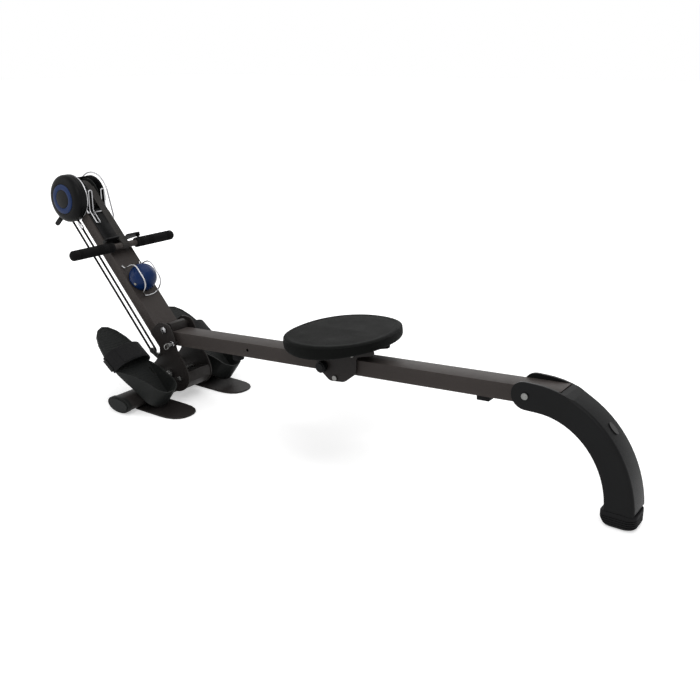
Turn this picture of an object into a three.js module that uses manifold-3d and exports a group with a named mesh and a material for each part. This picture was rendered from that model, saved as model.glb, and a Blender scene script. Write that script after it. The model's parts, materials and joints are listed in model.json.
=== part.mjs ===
// A folding rowing machine: a leaning mast with a strap reel in its head, a sloping rail with a rolling seat,
// two strapped footplates and a curved rear leg. Millimetres, +Z up, +X from the mast towards the rear leg.
// The rower faces the mast, so -Y is the rower's left.
import * as THREE from "three";
import { mergeVertices } from "three/addons/utils/BufferGeometryUtils.js";
import Module from "manifold-3d";

const wasm = await Module();
wasm.setup();

// ---------- Driving dimensions ----------
const gap = 0.3; // between pieces that touch
const running = 0.4; // radial clearance of a turning fit
const roundFit = 1; // between large round pieces, whose sides are flats

// Sides of the round pieces, from small bolts to large drums.
const facets = { bolt: 10, wire: 6, round: 12, wheel: 16, drum: 28 };
// Steps along each curved stretch of an outline.
const arcSteps = { corner: 2, oval: 10, blend: 5 };

const rail = { width: 60, height: 40, wall: 2, slope: 3.9, topHeight: 190.2, start: 150, end: 1340 };
const mast = { width: 85, depth: 35, wall: 2, lean: 41.5, footX: -22, footZ: 343, low: -232, high: 233.2 };
const plate = { thickness: 4.5 };
const pivot = { x: 137.1, z: 8.7, bolt: 6, head: 10.5, sleeve: 9.5 }; // along and above the rail's top
const lockPin = { x: 165.3, z: -30, radius: 4, barrel: 9, barrelLength: 6, collar: 4, ring: 8, travelIn: 9 };
const tie = { x: 149.8, z: 76.7, radius: 6, nut: 12.5 };
const lowBolt = { x: 189.1, z: 69.2, radius: 5, head: 7.5 };
const stabiliser = { x: 109, halfWidth: 43, halfHeight: 22, wall: 2, reach: 203, capReach: 218, capLip: 2 };
const floorPlate = { start: 127, end: 295, centreY: 117, halfWidth: 52, thickness: 5 };
const web = { thickness: 3, flange: 34 };
const pedal = {
  x: 88,
  z: 116,
  tilt: 37,
  y: 134,
  halfLength: 155,
  halfWidth: 61,
  heelWidth: 42,
  sole: 8,
  wall: 4,
  cupHeight: 58,
};
const axle = { u: 25, n: -24, radius: 8, boss: 13, nut: 11 }; // along and above the footplate's sole
const footStrap = { front: -56, back: 2, thickness: 2.5, rise: 34, tuck: 14 };
const head = { t: 304, radius: 60, cheek: 5, halfWidth: 36 };
const reel = { shaft: 7, core: 18, coil: 47.6, flange: 54, halfWidth: 18, flangeWidth: 3 };
const drum = { radius: 71, face: 46, back: -43.3, front: -76, wall: 2.5 };
const ring = { inner: 28, outer: 44, thickness: 2.6 };
const spool = { inner: -47.5, outer: -58.5, groove: 36, flange: 43 };
const wire = { radius: 2.5, hoop: 68, hoopY: 39.3, fine: 2 };
const cord = { radius: 3.2, y: -53, spacing: 20, low: -226, lowDepth: -51.7, clipT: 216 };
const cordPulley = { groove: 6.4, flange: 9.2, halfWidth: 4.4, axle: 2.5 };
const strap = { width: 25, thickness: 1.6 };
const handle = { t: 92, h: 23, tube: 9.5, bore: 8, grip: 15, gripStart: 44, gripEnd: 195 };
const bracket = { t: 113, thickness: 4, reach: 41, halfWidth: 66, rootHalf: 30, drop: 5.4 };
const ball = { t: -22, h: 18.3, radius: 41 };
const cradle = { y: 29.6, h: 50.4, top: 15, low: -60, base: -76, footT: 37, footY: 34 };
const knob = { t: 287, y: -52, stem: 4, radius: 7.5, length: 36 };
const seat = { x: 749, halfLength: 140, halfWidth: 163, pad: 24, board: 6, underside: 36.6 };
const carriage = { plate: 4, clearance: 3.3, top: 33, roof: 3, stripHalf: 115, upperX: 50, lowerX: -8 };
const roller = { upper: 16, lower: 13, halfWidth: 27, axle: 4, head: 7 };
const sideKnob = { x: -43, z: -26, radius: 15, length: 15, stem: 4 };
const stopFront = { x: 376, radius: 16, height: 22 };
const stopRear = { x: 1144, halfLength: 16, halfWidth: 12, height: 18 };
const leg = {
  boltX: 1260.8, // along the rail
  ear: 34,
  bolt: 5,
  wall: 7,
  skin: 5,
  outerReach: 241, // from the arc's centre
  outerRise: 268,
  centreZ: 20,
  innerDrop: 33,
  innerReach: 164,
  thicknessAtFoot: 77,
};
const badge = { thickness: 2, halfHeight: 15, halfWidth: 9 };
const foot = { height: 38, lip: 2.5 };

// ---------- Derived places ----------
const rad = THREE.MathUtils.degToRad;
const mastHalf = mast.width / 2;
const plateIn = mastHalf + gap;
const plateOut = plateIn + plate.thickness;
const railHalf = rail.width / 2;
const headH = -mast.depth / 2;

// A point of the sloping rail's own frame, in the machine's frame.
function fromRail(x, z) {
  const a = rad(rail.slope);
  return { x: x * Math.cos(a) - z * Math.sin(a), z: rail.topHeight + x * Math.sin(a) + z * Math.cos(a) };
}

// A point of the footplates' own frame, in the machine's frame.
function fromPedal(u, n) {
  const a = rad(pedal.tilt);
  return { x: pedal.x + u * Math.cos(a) + n * Math.sin(a), z: pedal.z - u * Math.sin(a) + n * Math.cos(a) };
}

const pivotAt = fromRail(pivot.x, pivot.z);
const lockAt = fromRail(lockPin.x, lockPin.z);
const axleAt = fromPedal(axle.u, axle.n);
const legBoltAt = fromRail(leg.boltX, -rail.height / 2);

// ---------- Materials ----------
function material(color, roughness, metalness) {
  return new THREE.MeshStandardMaterial({ color, roughness, metalness });
}
const frameSteel = () => material(0x5c5653, 0.42, 0.6);
const plateSteel = () => material(0x3a3432, 0.45, 0.6);
const chrome = () => material(0xd8d8d8, 0.18, 1);
const blackPlastic = () => material(0x1e1f20, 0.5, 0);
const greyPlastic = () => material(0x2b2d2c, 0.55, 0);
const rubber = () => material(0x161616, 0.8, 0);
const webbing = () => material(0x4a4a4a, 0.9, 0);
const bluePlastic = () => material(0x1b3f78, 0.35, 0);
const vinyl = () => material(0x1a1a1b, 0.6, 0);

// ---------- Geometry helpers ----------
function solid(geometry) {
  const bare = geometry.index ? geometry.toNonIndexed() : geometry.clone();
  bare.deleteAttribute("normal");
  bare.deleteAttribute("uv");
  const merged = mergeVertices(bare, 1e-4);
  return new wasm.Manifold(
    new wasm.Mesh({
      numProp: 3,
      vertProperties: merged.attributes.position.array,
      triVerts: new Uint32Array(merged.index.array),
    }),
  );
}

function geometryOf(shape) {
  const made = shape.getMesh();
  const geometry = new THREE.BufferGeometry();
  geometry.setAttribute("position", new THREE.BufferAttribute(made.vertProperties, 3));
  geometry.setIndex(new THREE.BufferAttribute(made.triVerts, 1));
  geometry.computeVertexNormals();
  return geometry;
}

function join(...parts) {
  return parts.map((part) => (part.isBufferGeometry ? solid(part) : part)).reduce((a, b) => a.add(b));
}

function cut(body, ...tools) {
  const start = body.isBufferGeometry ? solid(body) : body;
  return tools.map((tool) => (tool.isBufferGeometry ? solid(tool) : tool)).reduce((a, b) => a.subtract(b), start);
}

function overlap(a, b) {
  return solid(a).intersect(solid(b));
}

function mesh(name, shape, colour) {
  const geometry = shape.isBufferGeometry ? shape : geometryOf(shape);
  const made = new THREE.Mesh(geometry, colour);
  made.name = name;
  return made;
}

function box(x0, x1, y0, y1, z0, z1) {
  const made = new THREE.BoxGeometry(x1 - x0, y1 - y0, z1 - z0);
  return made.translate((x0 + x1) / 2, (y0 + y1) / 2, (z0 + z1) / 2);
}

// A bar of round section from one point to another.
function bar(from, to, radius, sides = facets.round) {
  const a = new THREE.Vector3(...from);
  const b = new THREE.Vector3(...to);
  const made = new THREE.CylinderGeometry(radius, radius, a.distanceTo(b), sides);
  const turn = new THREE.Quaternion().setFromUnitVectors(
    new THREE.Vector3(0, 1, 0),
    b.clone().sub(a).normalize(),
  );
  const middle = a.add(b).multiplyScalar(0.5);
  return made.applyQuaternion(turn).translate(middle.x, middle.y, middle.z);
}

function barY(x, z, y0, y1, radius, sides = facets.round) {
  return bar([x, y0, z], [x, y1, z], radius, sides);
}

// A shape drawn in X and Z, made solid from y0 to y1.
function acrossY(shape, y0, y1, curveSegments = arcSteps.corner) {
  const made = new THREE.ExtrudeGeometry(shape, { depth: y1 - y0, bevelEnabled: false, curveSegments });
  return made.rotateX(Math.PI / 2).translate(0, y1, 0);
}

// A shape drawn in X and Y, made solid from z0 to z1.
function upZ(shape, z0, z1, curveSegments = arcSteps.oval) {
  const made = new THREE.ExtrudeGeometry(shape, { depth: z1 - z0, bevelEnabled: false, curveSegments });
  return made.translate(0, 0, z0);
}

// A closed outline through the points, its corners rounded off.
function rounded(points, radius) {
  const shape = new THREE.Shape();
  points.forEach((point, i) => {
    const here = new THREE.Vector2(...point);
    const before = new THREE.Vector2(...points.at(i - 1));
    const after = new THREE.Vector2(...points[(i + 1) % points.length]);
    const back = before.sub(here);
    const on = after.sub(here);
    const reach = Math.min(radius, back.length() * 0.45, on.length() * 0.45);
    const start = here.clone().add(back.setLength(reach));
    const end = here.clone().add(on.setLength(reach));
    if (i === 0) shape.moveTo(start.x, start.y);
    else shape.lineTo(start.x, start.y);
    shape.quadraticCurveTo(here.x, here.y, end.x, end.y);
  });
  shape.closePath();
  return shape;
}

function ellipse(x, y, rx, ry) {
  return new THREE.Shape().absellipse(x, y, rx, ry, 0, 2 * Math.PI, false, 0);
}

// Turned about the Y axis through x, z; the profile gives radius and y.
function turned(profile, x, z, sides = facets.drum) {
  const made = new THREE.LatheGeometry(profile.map(([r, y]) => new THREE.Vector2(r, y)), sides);
  return made.translate(x, 0, z);
}

// A path that puts one ring of a swept tube at each of its points.
class StationPath extends THREE.Curve {
  constructor(points) {
    super();
    this.points = points;
  }

  getPoint(t, target = new THREE.Vector3()) {
    const place = t * (this.points.length - 1);
    const i = Math.min(Math.floor(place), this.points.length - 2);
    return target.lerpVectors(this.points[i], this.points[i + 1], place - i);
  }

  getPointAt(u, target) {
    return this.getPoint(u, target);
  }

  getTangentAt(u, target = new THREE.Vector3()) {
    const i = Math.round(u * (this.points.length - 1));
    const before = this.points[Math.max(i - 1, 0)];
    const here = this.points[i];
    const after = this.points[Math.min(i + 1, this.points.length - 1)];
    const back = here.clone().sub(before).normalize();
    return target.copy(after).sub(here).normalize().add(back).normalize();
  }
}

function along(points, radius, sides = facets.wire) {
  const section = new THREE.Shape().absarc(0, 0, radius, 0, 2 * Math.PI);
  return new THREE.ExtrudeGeometry(section, {
    extrudePath: new StationPath(points),
    steps: points.length - 1,
    curveSegments: sides / 2,
    bevelEnabled: false,
  });
}

// A wire bent through the points, its bends rounded.
function bentWire(points, radius, bend) {
  const at = points.map((point) => new THREE.Vector3(...point));
  const stations = [at[0]];
  at.slice(1, -1).forEach((corner, i) => {
    const next = at[i + 2];
    const reach = Math.min(bend, corner.distanceTo(at[i]) * 0.45, corner.distanceTo(next) * 0.45);
    const before = corner.clone().add(at[i].clone().sub(corner).setLength(reach));
    const after = corner.clone().add(next.clone().sub(corner).setLength(reach));
    stations.push(...new THREE.QuadraticBezierCurve3(before, corner, after).getPoints(arcSteps.corner));
  });
  return along([...stations, at.at(-1)], radius);
}

// ---------- Frames that lean with the parts they carry ----------
const machine = new THREE.Group();

// X out of the mast's rear face, Z up along the mast.
const mastFrame = new THREE.Group();
mastFrame.position.set(mast.footX, 0, mast.footZ);
mastFrame.rotation.y = -rad(mast.lean);

// X along the rail, Z up from its top.
const railFrame = new THREE.Group();
railFrame.position.z = rail.topHeight;
railFrame.rotation.y = -rad(rail.slope);

const seatFrame = new THREE.Group();
seatFrame.position.x = seat.x;
railFrame.add(seatFrame);
machine.add(mastFrame, railFrame);

// ---------- Mast and its head ----------
function mastTube() {
  const outer = box(-mast.depth, 0, -mastHalf, mastHalf, mast.low, mast.high);
  const bore = box(
    -mast.depth + mast.wall,
    -mast.wall,
    -mastHalf + mast.wall,
    mastHalf - mast.wall,
    mast.low - 1,
    mast.high + 1,
  );
  const seatRadius = Math.sqrt((ball.radius + gap) ** 2 - ball.h ** 2);
  const seatHole = bar([-mast.depth / 2, 0, ball.t], [1, 0, ball.t], seatRadius, 32);
  return cut(outer, bore, seatHole);
}

function headFrame() {
  const low = mast.high + gap;
  const top = head.t;
  const cheek = (y0, y1) => {
    const disc = barY(headH, top, y0, y1, head.radius, facets.drum);
    return join(disc, box(-mast.depth, 0, y0, y1, low, top));
  };
  const inside = head.halfWidth - head.cheek;
  const block = box(-mast.depth, 0, -head.halfWidth, head.halfWidth, low, low + 8);
  const plug = box(
    -mast.depth + mast.wall + gap,
    -mast.wall - gap,
    -mastHalf + mast.wall + gap,
    mastHalf - mast.wall - gap,
    mast.high - 30,
    mast.high - 2,
  );
  const neck = box(-mast.depth + 5, -5, -head.halfWidth + 4, head.halfWidth - 4, mast.high - 3, low + 1);
  const facing = box(gap, 2.2, -head.halfWidth, head.halfWidth, bracket.t + bracket.thickness + gap, low + 8);
  const facingRoot = box(-2, 2.2, -head.halfWidth, head.halfWidth, low, low + 8);
  const shroud = new THREE.Shape();
  shroud.absarc(headH, top, head.radius, rad(70), rad(250), false);
  shroud.absarc(headH, top, head.radius - 2.5, rad(250), rad(70), true);
  const back = barY(headH, top, drum.back + gap, drum.back - 2, drum.radius - drum.wall - roundFit, facets.drum);
  const boss = barY(headH, top, -head.halfWidth + 1, drum.back, 22, facets.wheel);
  const shaftHole = barY(headH, top, drum.back - 3, head.halfWidth + 1, reel.shaft + running, facets.round);
  const body = join(
    cheek(-head.halfWidth, -inside),
    cheek(inside, head.halfWidth),
    block,
    plug,
    neck,
    facing,
    facingRoot,
    acrossY(shroud, -inside - 1, inside + 1, arcSteps.blend),
    back,
    boss,
  );
  return cut(body, shaftHole);
}

function reelBody() {
  const edge = reel.halfWidth;
  const profile = [
    [0, -62],
    [reel.shaft, -62],
    [reel.shaft, -edge],
    [reel.flange, -edge],
    [reel.flange, -edge + reel.flangeWidth],
    [reel.core, -edge + reel.flangeWidth],
    [reel.core, edge - reel.flangeWidth],
    [reel.flange, edge - reel.flangeWidth],
    [reel.flange, edge],
    [reel.shaft, edge],
    [reel.shaft, head.halfWidth + 3],
    [0, head.halfWidth + 3],
  ];
  return turned(profile, headH, head.t, facets.wheel);
}

function ringAbout(x, z, inner, outer, y0, y1, sides) {
  const profile = [
    [inner, y0],
    [outer, y0],
    [outer, y1],
    [inner, y1],
    [inner, y0],
  ];
  return turned(profile, x, z, sides);
}

function cordSpool() {
  const profile = [
    [reel.shaft + gap, spool.outer],
    [spool.flange, spool.outer],
    [spool.flange, spool.outer + 2],
    [spool.groove, spool.outer + 2],
    [spool.groove, spool.inner - 2],
    [spool.flange, spool.inner - 2],
    [spool.flange, spool.inner],
    [reel.shaft + gap, spool.inner],
    [reel.shaft + gap, spool.outer],
  ];
  return turned(profile, headH, head.t, facets.wheel);
}

function drumCover() {
  const { radius, face, back, front, wall } = drum;
  const profile = [
    [0, front],
    [face, front],
    [face + 12, front + 3],
    [radius - 5, front + 9],
    [radius, front + 17],
    [radius, back],
    [radius - wall, back],
    [radius - wall, front + 18],
    [radius - 7, front + 11],
    [face + 11, front + 5.5],
    [face, front + wall],
    [0, front + wall],
  ];
  const shell = turned(profile, headH, head.t);
  const mouth = box(cord.lowDepth - 18, cord.lowDepth + 21, cord.y - 6, back + 1, head.t - 80, head.t - 40);
  const knobHole = bar([headH - radius - 5, knob.y, knob.t], [headH - 40, knob.y, knob.t], knob.stem + running, facets.bolt);
  return cut(shell, mouth, knobHole);
}

function hubCap() {
  const profile = [
    [0, drum.front - 5],
    [12, drum.front - 4.5],
    [ring.inner - gap, drum.front - 2.4],
    [ring.inner - gap, drum.front - gap],
    [0, drum.front - gap],
  ];
  return turned(profile, headH, head.t, facets.wheel);
}

// A point on the hoop about the reel, at an angle from the mast's rear normal.
function onHoop(angle, y) {
  return [headH + wire.hoop * Math.cos(rad(angle)), y, head.t + wire.hoop * Math.sin(rad(angle))];
}

// A long loop of wire: up the mast's face, then away from it towards the reel.
function hangingLoop(y0, y1) {
  const face = 5.4;
  const bottom = 192;
  const bendAt = 236;
  const top = [46, 281];
  const middle = (y0 + y1) / 2;
  const side = (y, other) =>
    bentWire(
      [
        [face, other, bottom],
        [face, y, bottom],
        [face, y, bendAt],
        [top[0], y, top[1]],
        [top[0], other, top[1]],
      ],
      wire.fine,
      6,
    );
  return join(side(y0, middle + 1), side(y1, middle - 1), bar([face, y0, 222], [face, y1, 222], wire.fine, facets.wire));
}

function wireRack() {
  const nearHoop = new THREE.TorusGeometry(wire.hoop, wire.radius, facets.wire, 32);
  nearHoop.rotateX(Math.PI / 2).translate(headH, -wire.hoopY, head.t);
  const legStart = -25;
  const arcStations = 26;
  const turnOfArc = (270 - legStart) / arcStations;
  const arc = Array.from({ length: arcStations + 1 }, (_, i) => onHoop(270 - i * turnOfArc, wire.hoopY));
  const farHoop = along(arc.map((point) => new THREE.Vector3(...point)), wire.radius);
  const legFoot = [5.4, wire.hoopY, 198];
  const farLeg = bentWire([onHoop(legStart, wire.hoopY), legFoot, [5.4, 24, 198]], wire.radius, 8);
  const jointBall = new THREE.SphereGeometry(wire.radius + 0.3, 8, 6).translate(...onHoop(legStart, wire.hoopY));
  const topBar = bar(onHoop(96, -wire.hoopY), onHoop(96, wire.hoopY), wire.radius, facets.wire);
  const tail = bentWire([onHoop(-70, -wire.hoopY), [5.4, -wire.hoopY, 229], [5.4, 26, 229]], wire.radius, 4);
  return join(nearHoop, farHoop, farLeg, jointBall, topBar, tail, hangingLoop(-29.5, -17), hangingLoop(17, 29.5));
}

function tensionKnob() {
  const profile = [
    [0, 0],
    [knob.stem, 0],
    [knob.stem, 34],
    [knob.radius, 35],
    [knob.radius, 34 + knob.length - 4],
    [knob.radius - 3, 34 + knob.length],
    [0, 34 + knob.length],
  ];
  const made = new THREE.LatheGeometry(profile.map(([r, y]) => new THREE.Vector2(r, y)), facets.round);
  const inside = headH - spool.flange - running;
  return made.rotateZ(Math.PI / 2).translate(inside, knob.y, knob.t);
}

mastFrame.add(
  mesh("mast", mastTube(), frameSteel()),
  mesh("head_frame", headFrame(), blackPlastic()),
  mesh("strap_reel", reelBody(), greyPlastic()),
  mesh("strap_coil", ringAbout(headH, head.t, reel.core + gap, reel.coil, -14, 14, facets.drum), webbing()),
  mesh("cord_spool", cordSpool(), greyPlastic()),
  mesh("drum_cover", drumCover(), blackPlastic()),
  mesh(
    "drum_ring",
    ringAbout(headH, head.t, ring.inner, ring.outer, drum.front - gap - ring.thickness, drum.front - gap, facets.drum),
    bluePlastic(),
  ),
  mesh("drum_hub_cap", hubCap(), blackPlastic()),
  mesh("wire_rack", wireRack(), chrome()),
  mesh("tension_knob", tensionKnob(), blackPlastic()),
);

// ---------- Resistance cord along the mast's left side ----------
function bungeeCord() {
  const half = cord.spacing / 2;
  const outerTop = new THREE.Vector3(headH - spool.groove - cord.radius - gap, cord.y, head.t);
  const outerLow = new THREE.Vector3(cord.lowDepth - half, cord.y, cord.low);
  const innerLow = new THREE.Vector3(cord.lowDepth + half, cord.y, cord.low);
  const innerTop = new THREE.Vector3(cord.lowDepth + half + 5, cord.y, cord.clipT);
  const turn = [-150, -120, -90, -60, -30].map(
    (a) =>
      new THREE.Vector3(cord.lowDepth + half * Math.cos(rad(a)), cord.y, cord.low + half * Math.sin(rad(a))),
  );
  const stretch = (from, to) => new THREE.LineCurve3(from, to).getPoints(6).slice(1, -1);
  const stations = [
    outerTop,
    ...stretch(outerTop, outerLow),
    outerLow,
    ...turn,
    innerLow,
    ...stretch(innerLow, innerTop),
    innerTop,
  ];
  return along(stations, cord.radius, 8);
}

function cordFerrule() {
  const at = cord.lowDepth + cord.spacing / 2 + 5;
  const sleeve = bar([at, cord.y, cord.clipT - 12], [at, cord.y, cord.clipT + 10], cord.radius + 2.3, facets.round);
  const stem = box(at - 2, at + 2, cord.y - 2, drum.back - 5, cord.clipT + 8, head.t - 40);
  const bore = bar([at - 0.3, cord.y, cord.clipT - 13], [at, cord.y, cord.clipT + gap], cord.radius + gap, facets.round);
  return cut(join(sleeve, stem), bore);
}

function cordPulleyWheel() {
  const { groove, flange, halfWidth } = cordPulley;
  const profile = [
    [cordPulley.axle + running, cord.y - halfWidth],
    [flange, cord.y - halfWidth],
    [groove, cord.y - halfWidth + 2],
    [groove, cord.y + halfWidth - 2],
    [flange, cord.y + halfWidth],
    [cordPulley.axle + running, cord.y + halfWidth],
    [cordPulley.axle + running, cord.y - halfWidth],
  ];
  return turned(profile, cord.lowDepth, cord.low, facets.round);
}

mastFrame.add(
  mesh("bungee_cord", bungeeCord(), rubber()),
  mesh("cord_ferrule", cordFerrule(), chrome()),
  mesh("cord_pulley", cordPulleyWheel(), chrome()),
);

// ---------- Ball and its cradle ----------
function ballCradle() {
  const side = (sign) => [
    [wire.fine + gap, sign * cradle.footY, cradle.footT],
    [wire.fine + gap, sign * (cradle.y - 2), cradle.footT - 11],
    [cradle.h, sign * cradle.y, cradle.top],
    [cradle.h, sign * cradle.y, cradle.low],
    [wire.fine + gap, sign * cradle.y, cradle.base],
  ];
  return bentWire([...side(-1), ...side(1).reverse()], wire.fine, 9);
}

function ballValve() {
  const direction = new THREE.Vector3(-0.05, -0.93, -0.36).normalize();
  const centre = new THREE.Vector3(ball.h, 0, ball.t);
  const inner = centre.clone().addScaledVector(direction, ball.radius + gap);
  const outer = centre.clone().addScaledVector(direction, ball.radius + 1.6);
  return bar(inner.toArray(), outer.toArray(), 4, facets.bolt);
}

mastFrame.add(
  mesh("ball_cradle", ballCradle(), chrome()),
  mesh(
    "ball",
    new THREE.SphereGeometry(ball.radius, 22, 14).rotateX(Math.PI / 2).translate(ball.h, 0, ball.t),
    bluePlastic(),
  ),
  mesh("ball_valve", ballValve(), material(0xb8b8a8, 0.5, 0)),
);

// ---------- Handle, its bracket and the pull strap ----------
function handleBracket() {
  const { t, thickness, reach, halfWidth, rootHalf, drop } = bracket;
  const outline = rounded(
    [
      [gap, -rootHalf],
      [12, -rootHalf],
      [20, -halfWidth],
      [reach, -halfWidth],
      [reach, halfWidth],
      [20, halfWidth],
      [12, rootHalf],
      [gap, rootHalf],
    ],
    6,
  );
  const deck = upZ(outline, t, t + thickness);
  const end = (sign) => {
    const y = [sign * (halfWidth - 4), sign * halfWidth].sort((a, b) => a - b);
    return box(21, reach - 6, ...y, t - drop, t + 1);
  };
  const flange = box(gap, gap + 3, -rootHalf + 6, rootHalf - 6, t - 14, t + 1);
  const slot = box(handle.h, reach + 1, -strap.width / 2 - 2, strap.width / 2 + 2, t - 1, t + thickness + 1);
  return cut(join(deck, end(-1), end(1), flange), slot);
}

function handleGrip(sign) {
  const { tube, grip, gripStart, gripEnd } = handle;
  const bore = tube + gap;
  const profile = [
    [bore, gripStart],
    [grip - 1, gripStart],
    [grip, gripStart + 2],
    [grip, gripEnd - 8],
    [grip - 3, gripEnd - 2],
    [grip - 8, gripEnd],
    [0, gripEnd],
    [0, gripEnd - 20],
    [bore, gripEnd - 20],
    [bore, gripStart],
  ];
  const made = turned(profile, 0, 0, facets.round);
  if (sign < 0) made.rotateX(Math.PI);
  return made.translate(handle.h, 0, handle.t);
}

function handleTube() {
  const end = handle.gripEnd - 21;
  const outer = barY(handle.h, handle.t, -end, end, handle.tube);
  return cut(outer, barY(handle.h, handle.t, -end - 1, end + 1, handle.bore));
}

// The strap's inner face, a hair off the coil it is wound on.
const strapIn = headH + reel.coil + gap;
const strapEndT = handle.t + 18;

function strapLoop() {
  const inner = handle.tube + gap;
  const outer = inner + strap.thickness;
  const half = strap.width / 2;
  const around = ringAbout(handle.h, handle.t, inner, outer, -half, half, facets.round);
  const outline = new THREE.Shape();
  outline.moveTo(handle.h + inner - 1, handle.t);
  outline.lineTo(handle.h + outer, handle.t);
  outline.lineTo(strapIn + strap.thickness, strapEndT - gap);
  outline.lineTo(strapIn - strap.thickness, strapEndT - gap);
  outline.lineTo(strapIn - strap.thickness, strapEndT - 5);
  outline.closePath();
  const tail = cut(acrossY(outline, -half, half), barY(handle.h, handle.t, -half - 1, half + 1, inner));
  return join(around, tail);
}

mastFrame.add(
  mesh("handle_bracket", handleBracket(), blackPlastic()),
  mesh("handle_bar", handleTube(), frameSteel()),
  mesh("grip_left", handleGrip(-1), rubber()),
  mesh("grip_right", handleGrip(1), rubber()),
  mesh("strap_loop", strapLoop(), webbing()),
  mesh(
    "pull_strap",
    box(strapIn, strapIn + strap.thickness, -strap.width / 2, strap.width / 2, strapEndT, head.t),
    webbing(),
  ),
);

// ---------- Base ----------
function stabiliserOutline(grow) {
  return ellipse(stabiliser.x, stabiliser.halfHeight + stabiliser.capLip, stabiliser.halfWidth + grow, stabiliser.halfHeight + grow);
}

function sidePlate(sign) {
  const outline = rounded(
    [
      [mast.footX + 134, 152],
      [mast.footX + 92, 190],
      [pivotAt.x - 22, pivotAt.z + 20],
      [pivotAt.x + 18, pivotAt.z + 18],
      [lockAt.x + 10, lockAt.z + 13],
      [lockAt.x + 11, lockAt.z - 15],
      [209, 121],
      [225, 87],
      [225, 63],
      [210, 41],
      [188, 28],
      [165, 24],
      [stabiliser.x - 30, 30],
      [axleAt.x - 22, axleAt.z - 18],
      [axleAt.x - 18, axleAt.z + 12],
      [84, 99],
      [106, 124],
    ],
    11,
  );
  const y = [sign * plateIn, sign * plateOut].sort((a, b) => a - b);
  const through = (at, radius) => barY(at.x, at.z, -plateOut - 1, plateOut + 1, radius);
  return cut(
    acrossY(outline, ...y),
    acrossY(stabiliserOutline(gap), y[0] - 1, y[1] + 1, arcSteps.oval),
    through(pivotAt, pivot.bolt + gap),
    through(lockAt, lockPin.radius + running),
    through(tie, tie.radius + gap),
    through(lowBolt, lowBolt.radius + gap),
    through(axleAt, axle.radius + running),
  );
}

function stabiliserTube() {
  return cut(
    acrossY(stabiliserOutline(0), -stabiliser.reach, stabiliser.reach, arcSteps.oval),
    acrossY(stabiliserOutline(-stabiliser.wall), -stabiliser.reach - 1, stabiliser.reach + 1, arcSteps.oval),
  );
}

function stabiliserCap(sign) {
  const from = stabiliser.reach + gap;
  const outer = stabiliser.capReach;
  const span = (a, b) => [sign * a, sign * b].sort((p, q) => p - q);
  const body = acrossY(stabiliserOutline(stabiliser.capLip), ...span(from, outer - 4), arcSteps.oval);
  const nose = acrossY(stabiliserOutline(-4), ...span(outer - 5, outer), arcSteps.oval);
  const plug = acrossY(stabiliserOutline(-stabiliser.wall - gap), ...span(from - 14, from + 1), arcSteps.oval);
  return join(body, nose, plug);
}

function floorTongue(sign) {
  const { start, end, centreY, halfWidth, thickness } = floorPlate;
  const shape = new THREE.Shape();
  const y = sign * centreY;
  shape.moveTo(start, y - halfWidth);
  shape.lineTo(end - 70, y - halfWidth);
  shape.bezierCurveTo(end - 20, y - halfWidth, end, y - halfWidth * 0.62, end, y);
  shape.bezierCurveTo(end, y + halfWidth * 0.62, end - 20, y + halfWidth, end - 70, y + halfWidth);
  shape.lineTo(start, y + halfWidth);
  shape.closePath();
  const tube = acrossY(stabiliserOutline(gap), y - halfWidth - 1, y + halfWidth + 1, arcSteps.oval);
  return cut(upZ(shape, 0, thickness, arcSteps.blend), tube);
}

function baseWeb() {
  const edge = [
    [219, 92],
    [223, 84],
    [223, 64],
    [208.5, 43],
    [187, 30.5],
    [166, 26.5],
  ];
  const inner = edge.map(([x, z]) => [x - web.thickness, z + web.thickness * 0.5]).reverse();
  const strip = new THREE.Shape([...edge, ...inner].map(([x, z]) => new THREE.Vector2(x, z)));
  const reach = mastHalf;
  const cheekOutline = rounded([[219, 92], [223, 84], [223, 64], [208.5, 43], [187, 30.5], [178, 50], [176, 84]], 6);
  const cheek = (sign) => {
    const y = [sign * (reach - web.thickness), sign * reach].sort((a, b) => a - b);
    return acrossY(cheekOutline, ...y);
  };
  const hole = barY(lowBolt.x, lowBolt.z, -reach - 1, reach + 1, lowBolt.radius + gap);
  return cut(join(acrossY(strip, -reach, reach), cheek(-1), cheek(1)), hole);
}

// A bolt right through both side plates, with a head on one side and a nut on the other.
function throughBolt(at, radius, headRadius, headHeight) {
  const start = plateOut + gap;
  const shank = barY(at.x, at.z, -start - headHeight - 2, start + headHeight + 2, radius);
  const left = barY(at.x, at.z, -start - headHeight, -start, headRadius, 6);
  const right = barY(at.x, at.z, start, start + headHeight, headRadius, 6);
  return join(shank, left, right);
}

function pinBarrel() {
  const from = -plateOut - gap;
  const outer = barY(lockAt.x, lockAt.z, from - lockPin.barrelLength, from, lockPin.barrel);
  return cut(outer, barY(lockAt.x, lockAt.z, from - lockPin.barrelLength - 1, from + 1, lockPin.radius + running));
}

function pullPin() {
  // The tip stands just outside the rail's wall, in line with the hole that it locks into.
  const start = -plateOut - gap - lockPin.barrelLength - lockPin.travelIn;
  const shank = barY(lockAt.x, lockAt.z, start - lockPin.collar, -railHalf - gap, lockPin.radius);
  const collar = barY(lockAt.x, lockAt.z, start - lockPin.collar, start, 7);
  const loop = new THREE.TorusGeometry(lockPin.ring, 1.8, facets.wire, 18);
  loop.rotateY(Math.PI / 2).translate(lockAt.x, start - lockPin.collar - lockPin.ring + 2, lockAt.z - 2);
  return join(shank, collar, loop);
}

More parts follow.
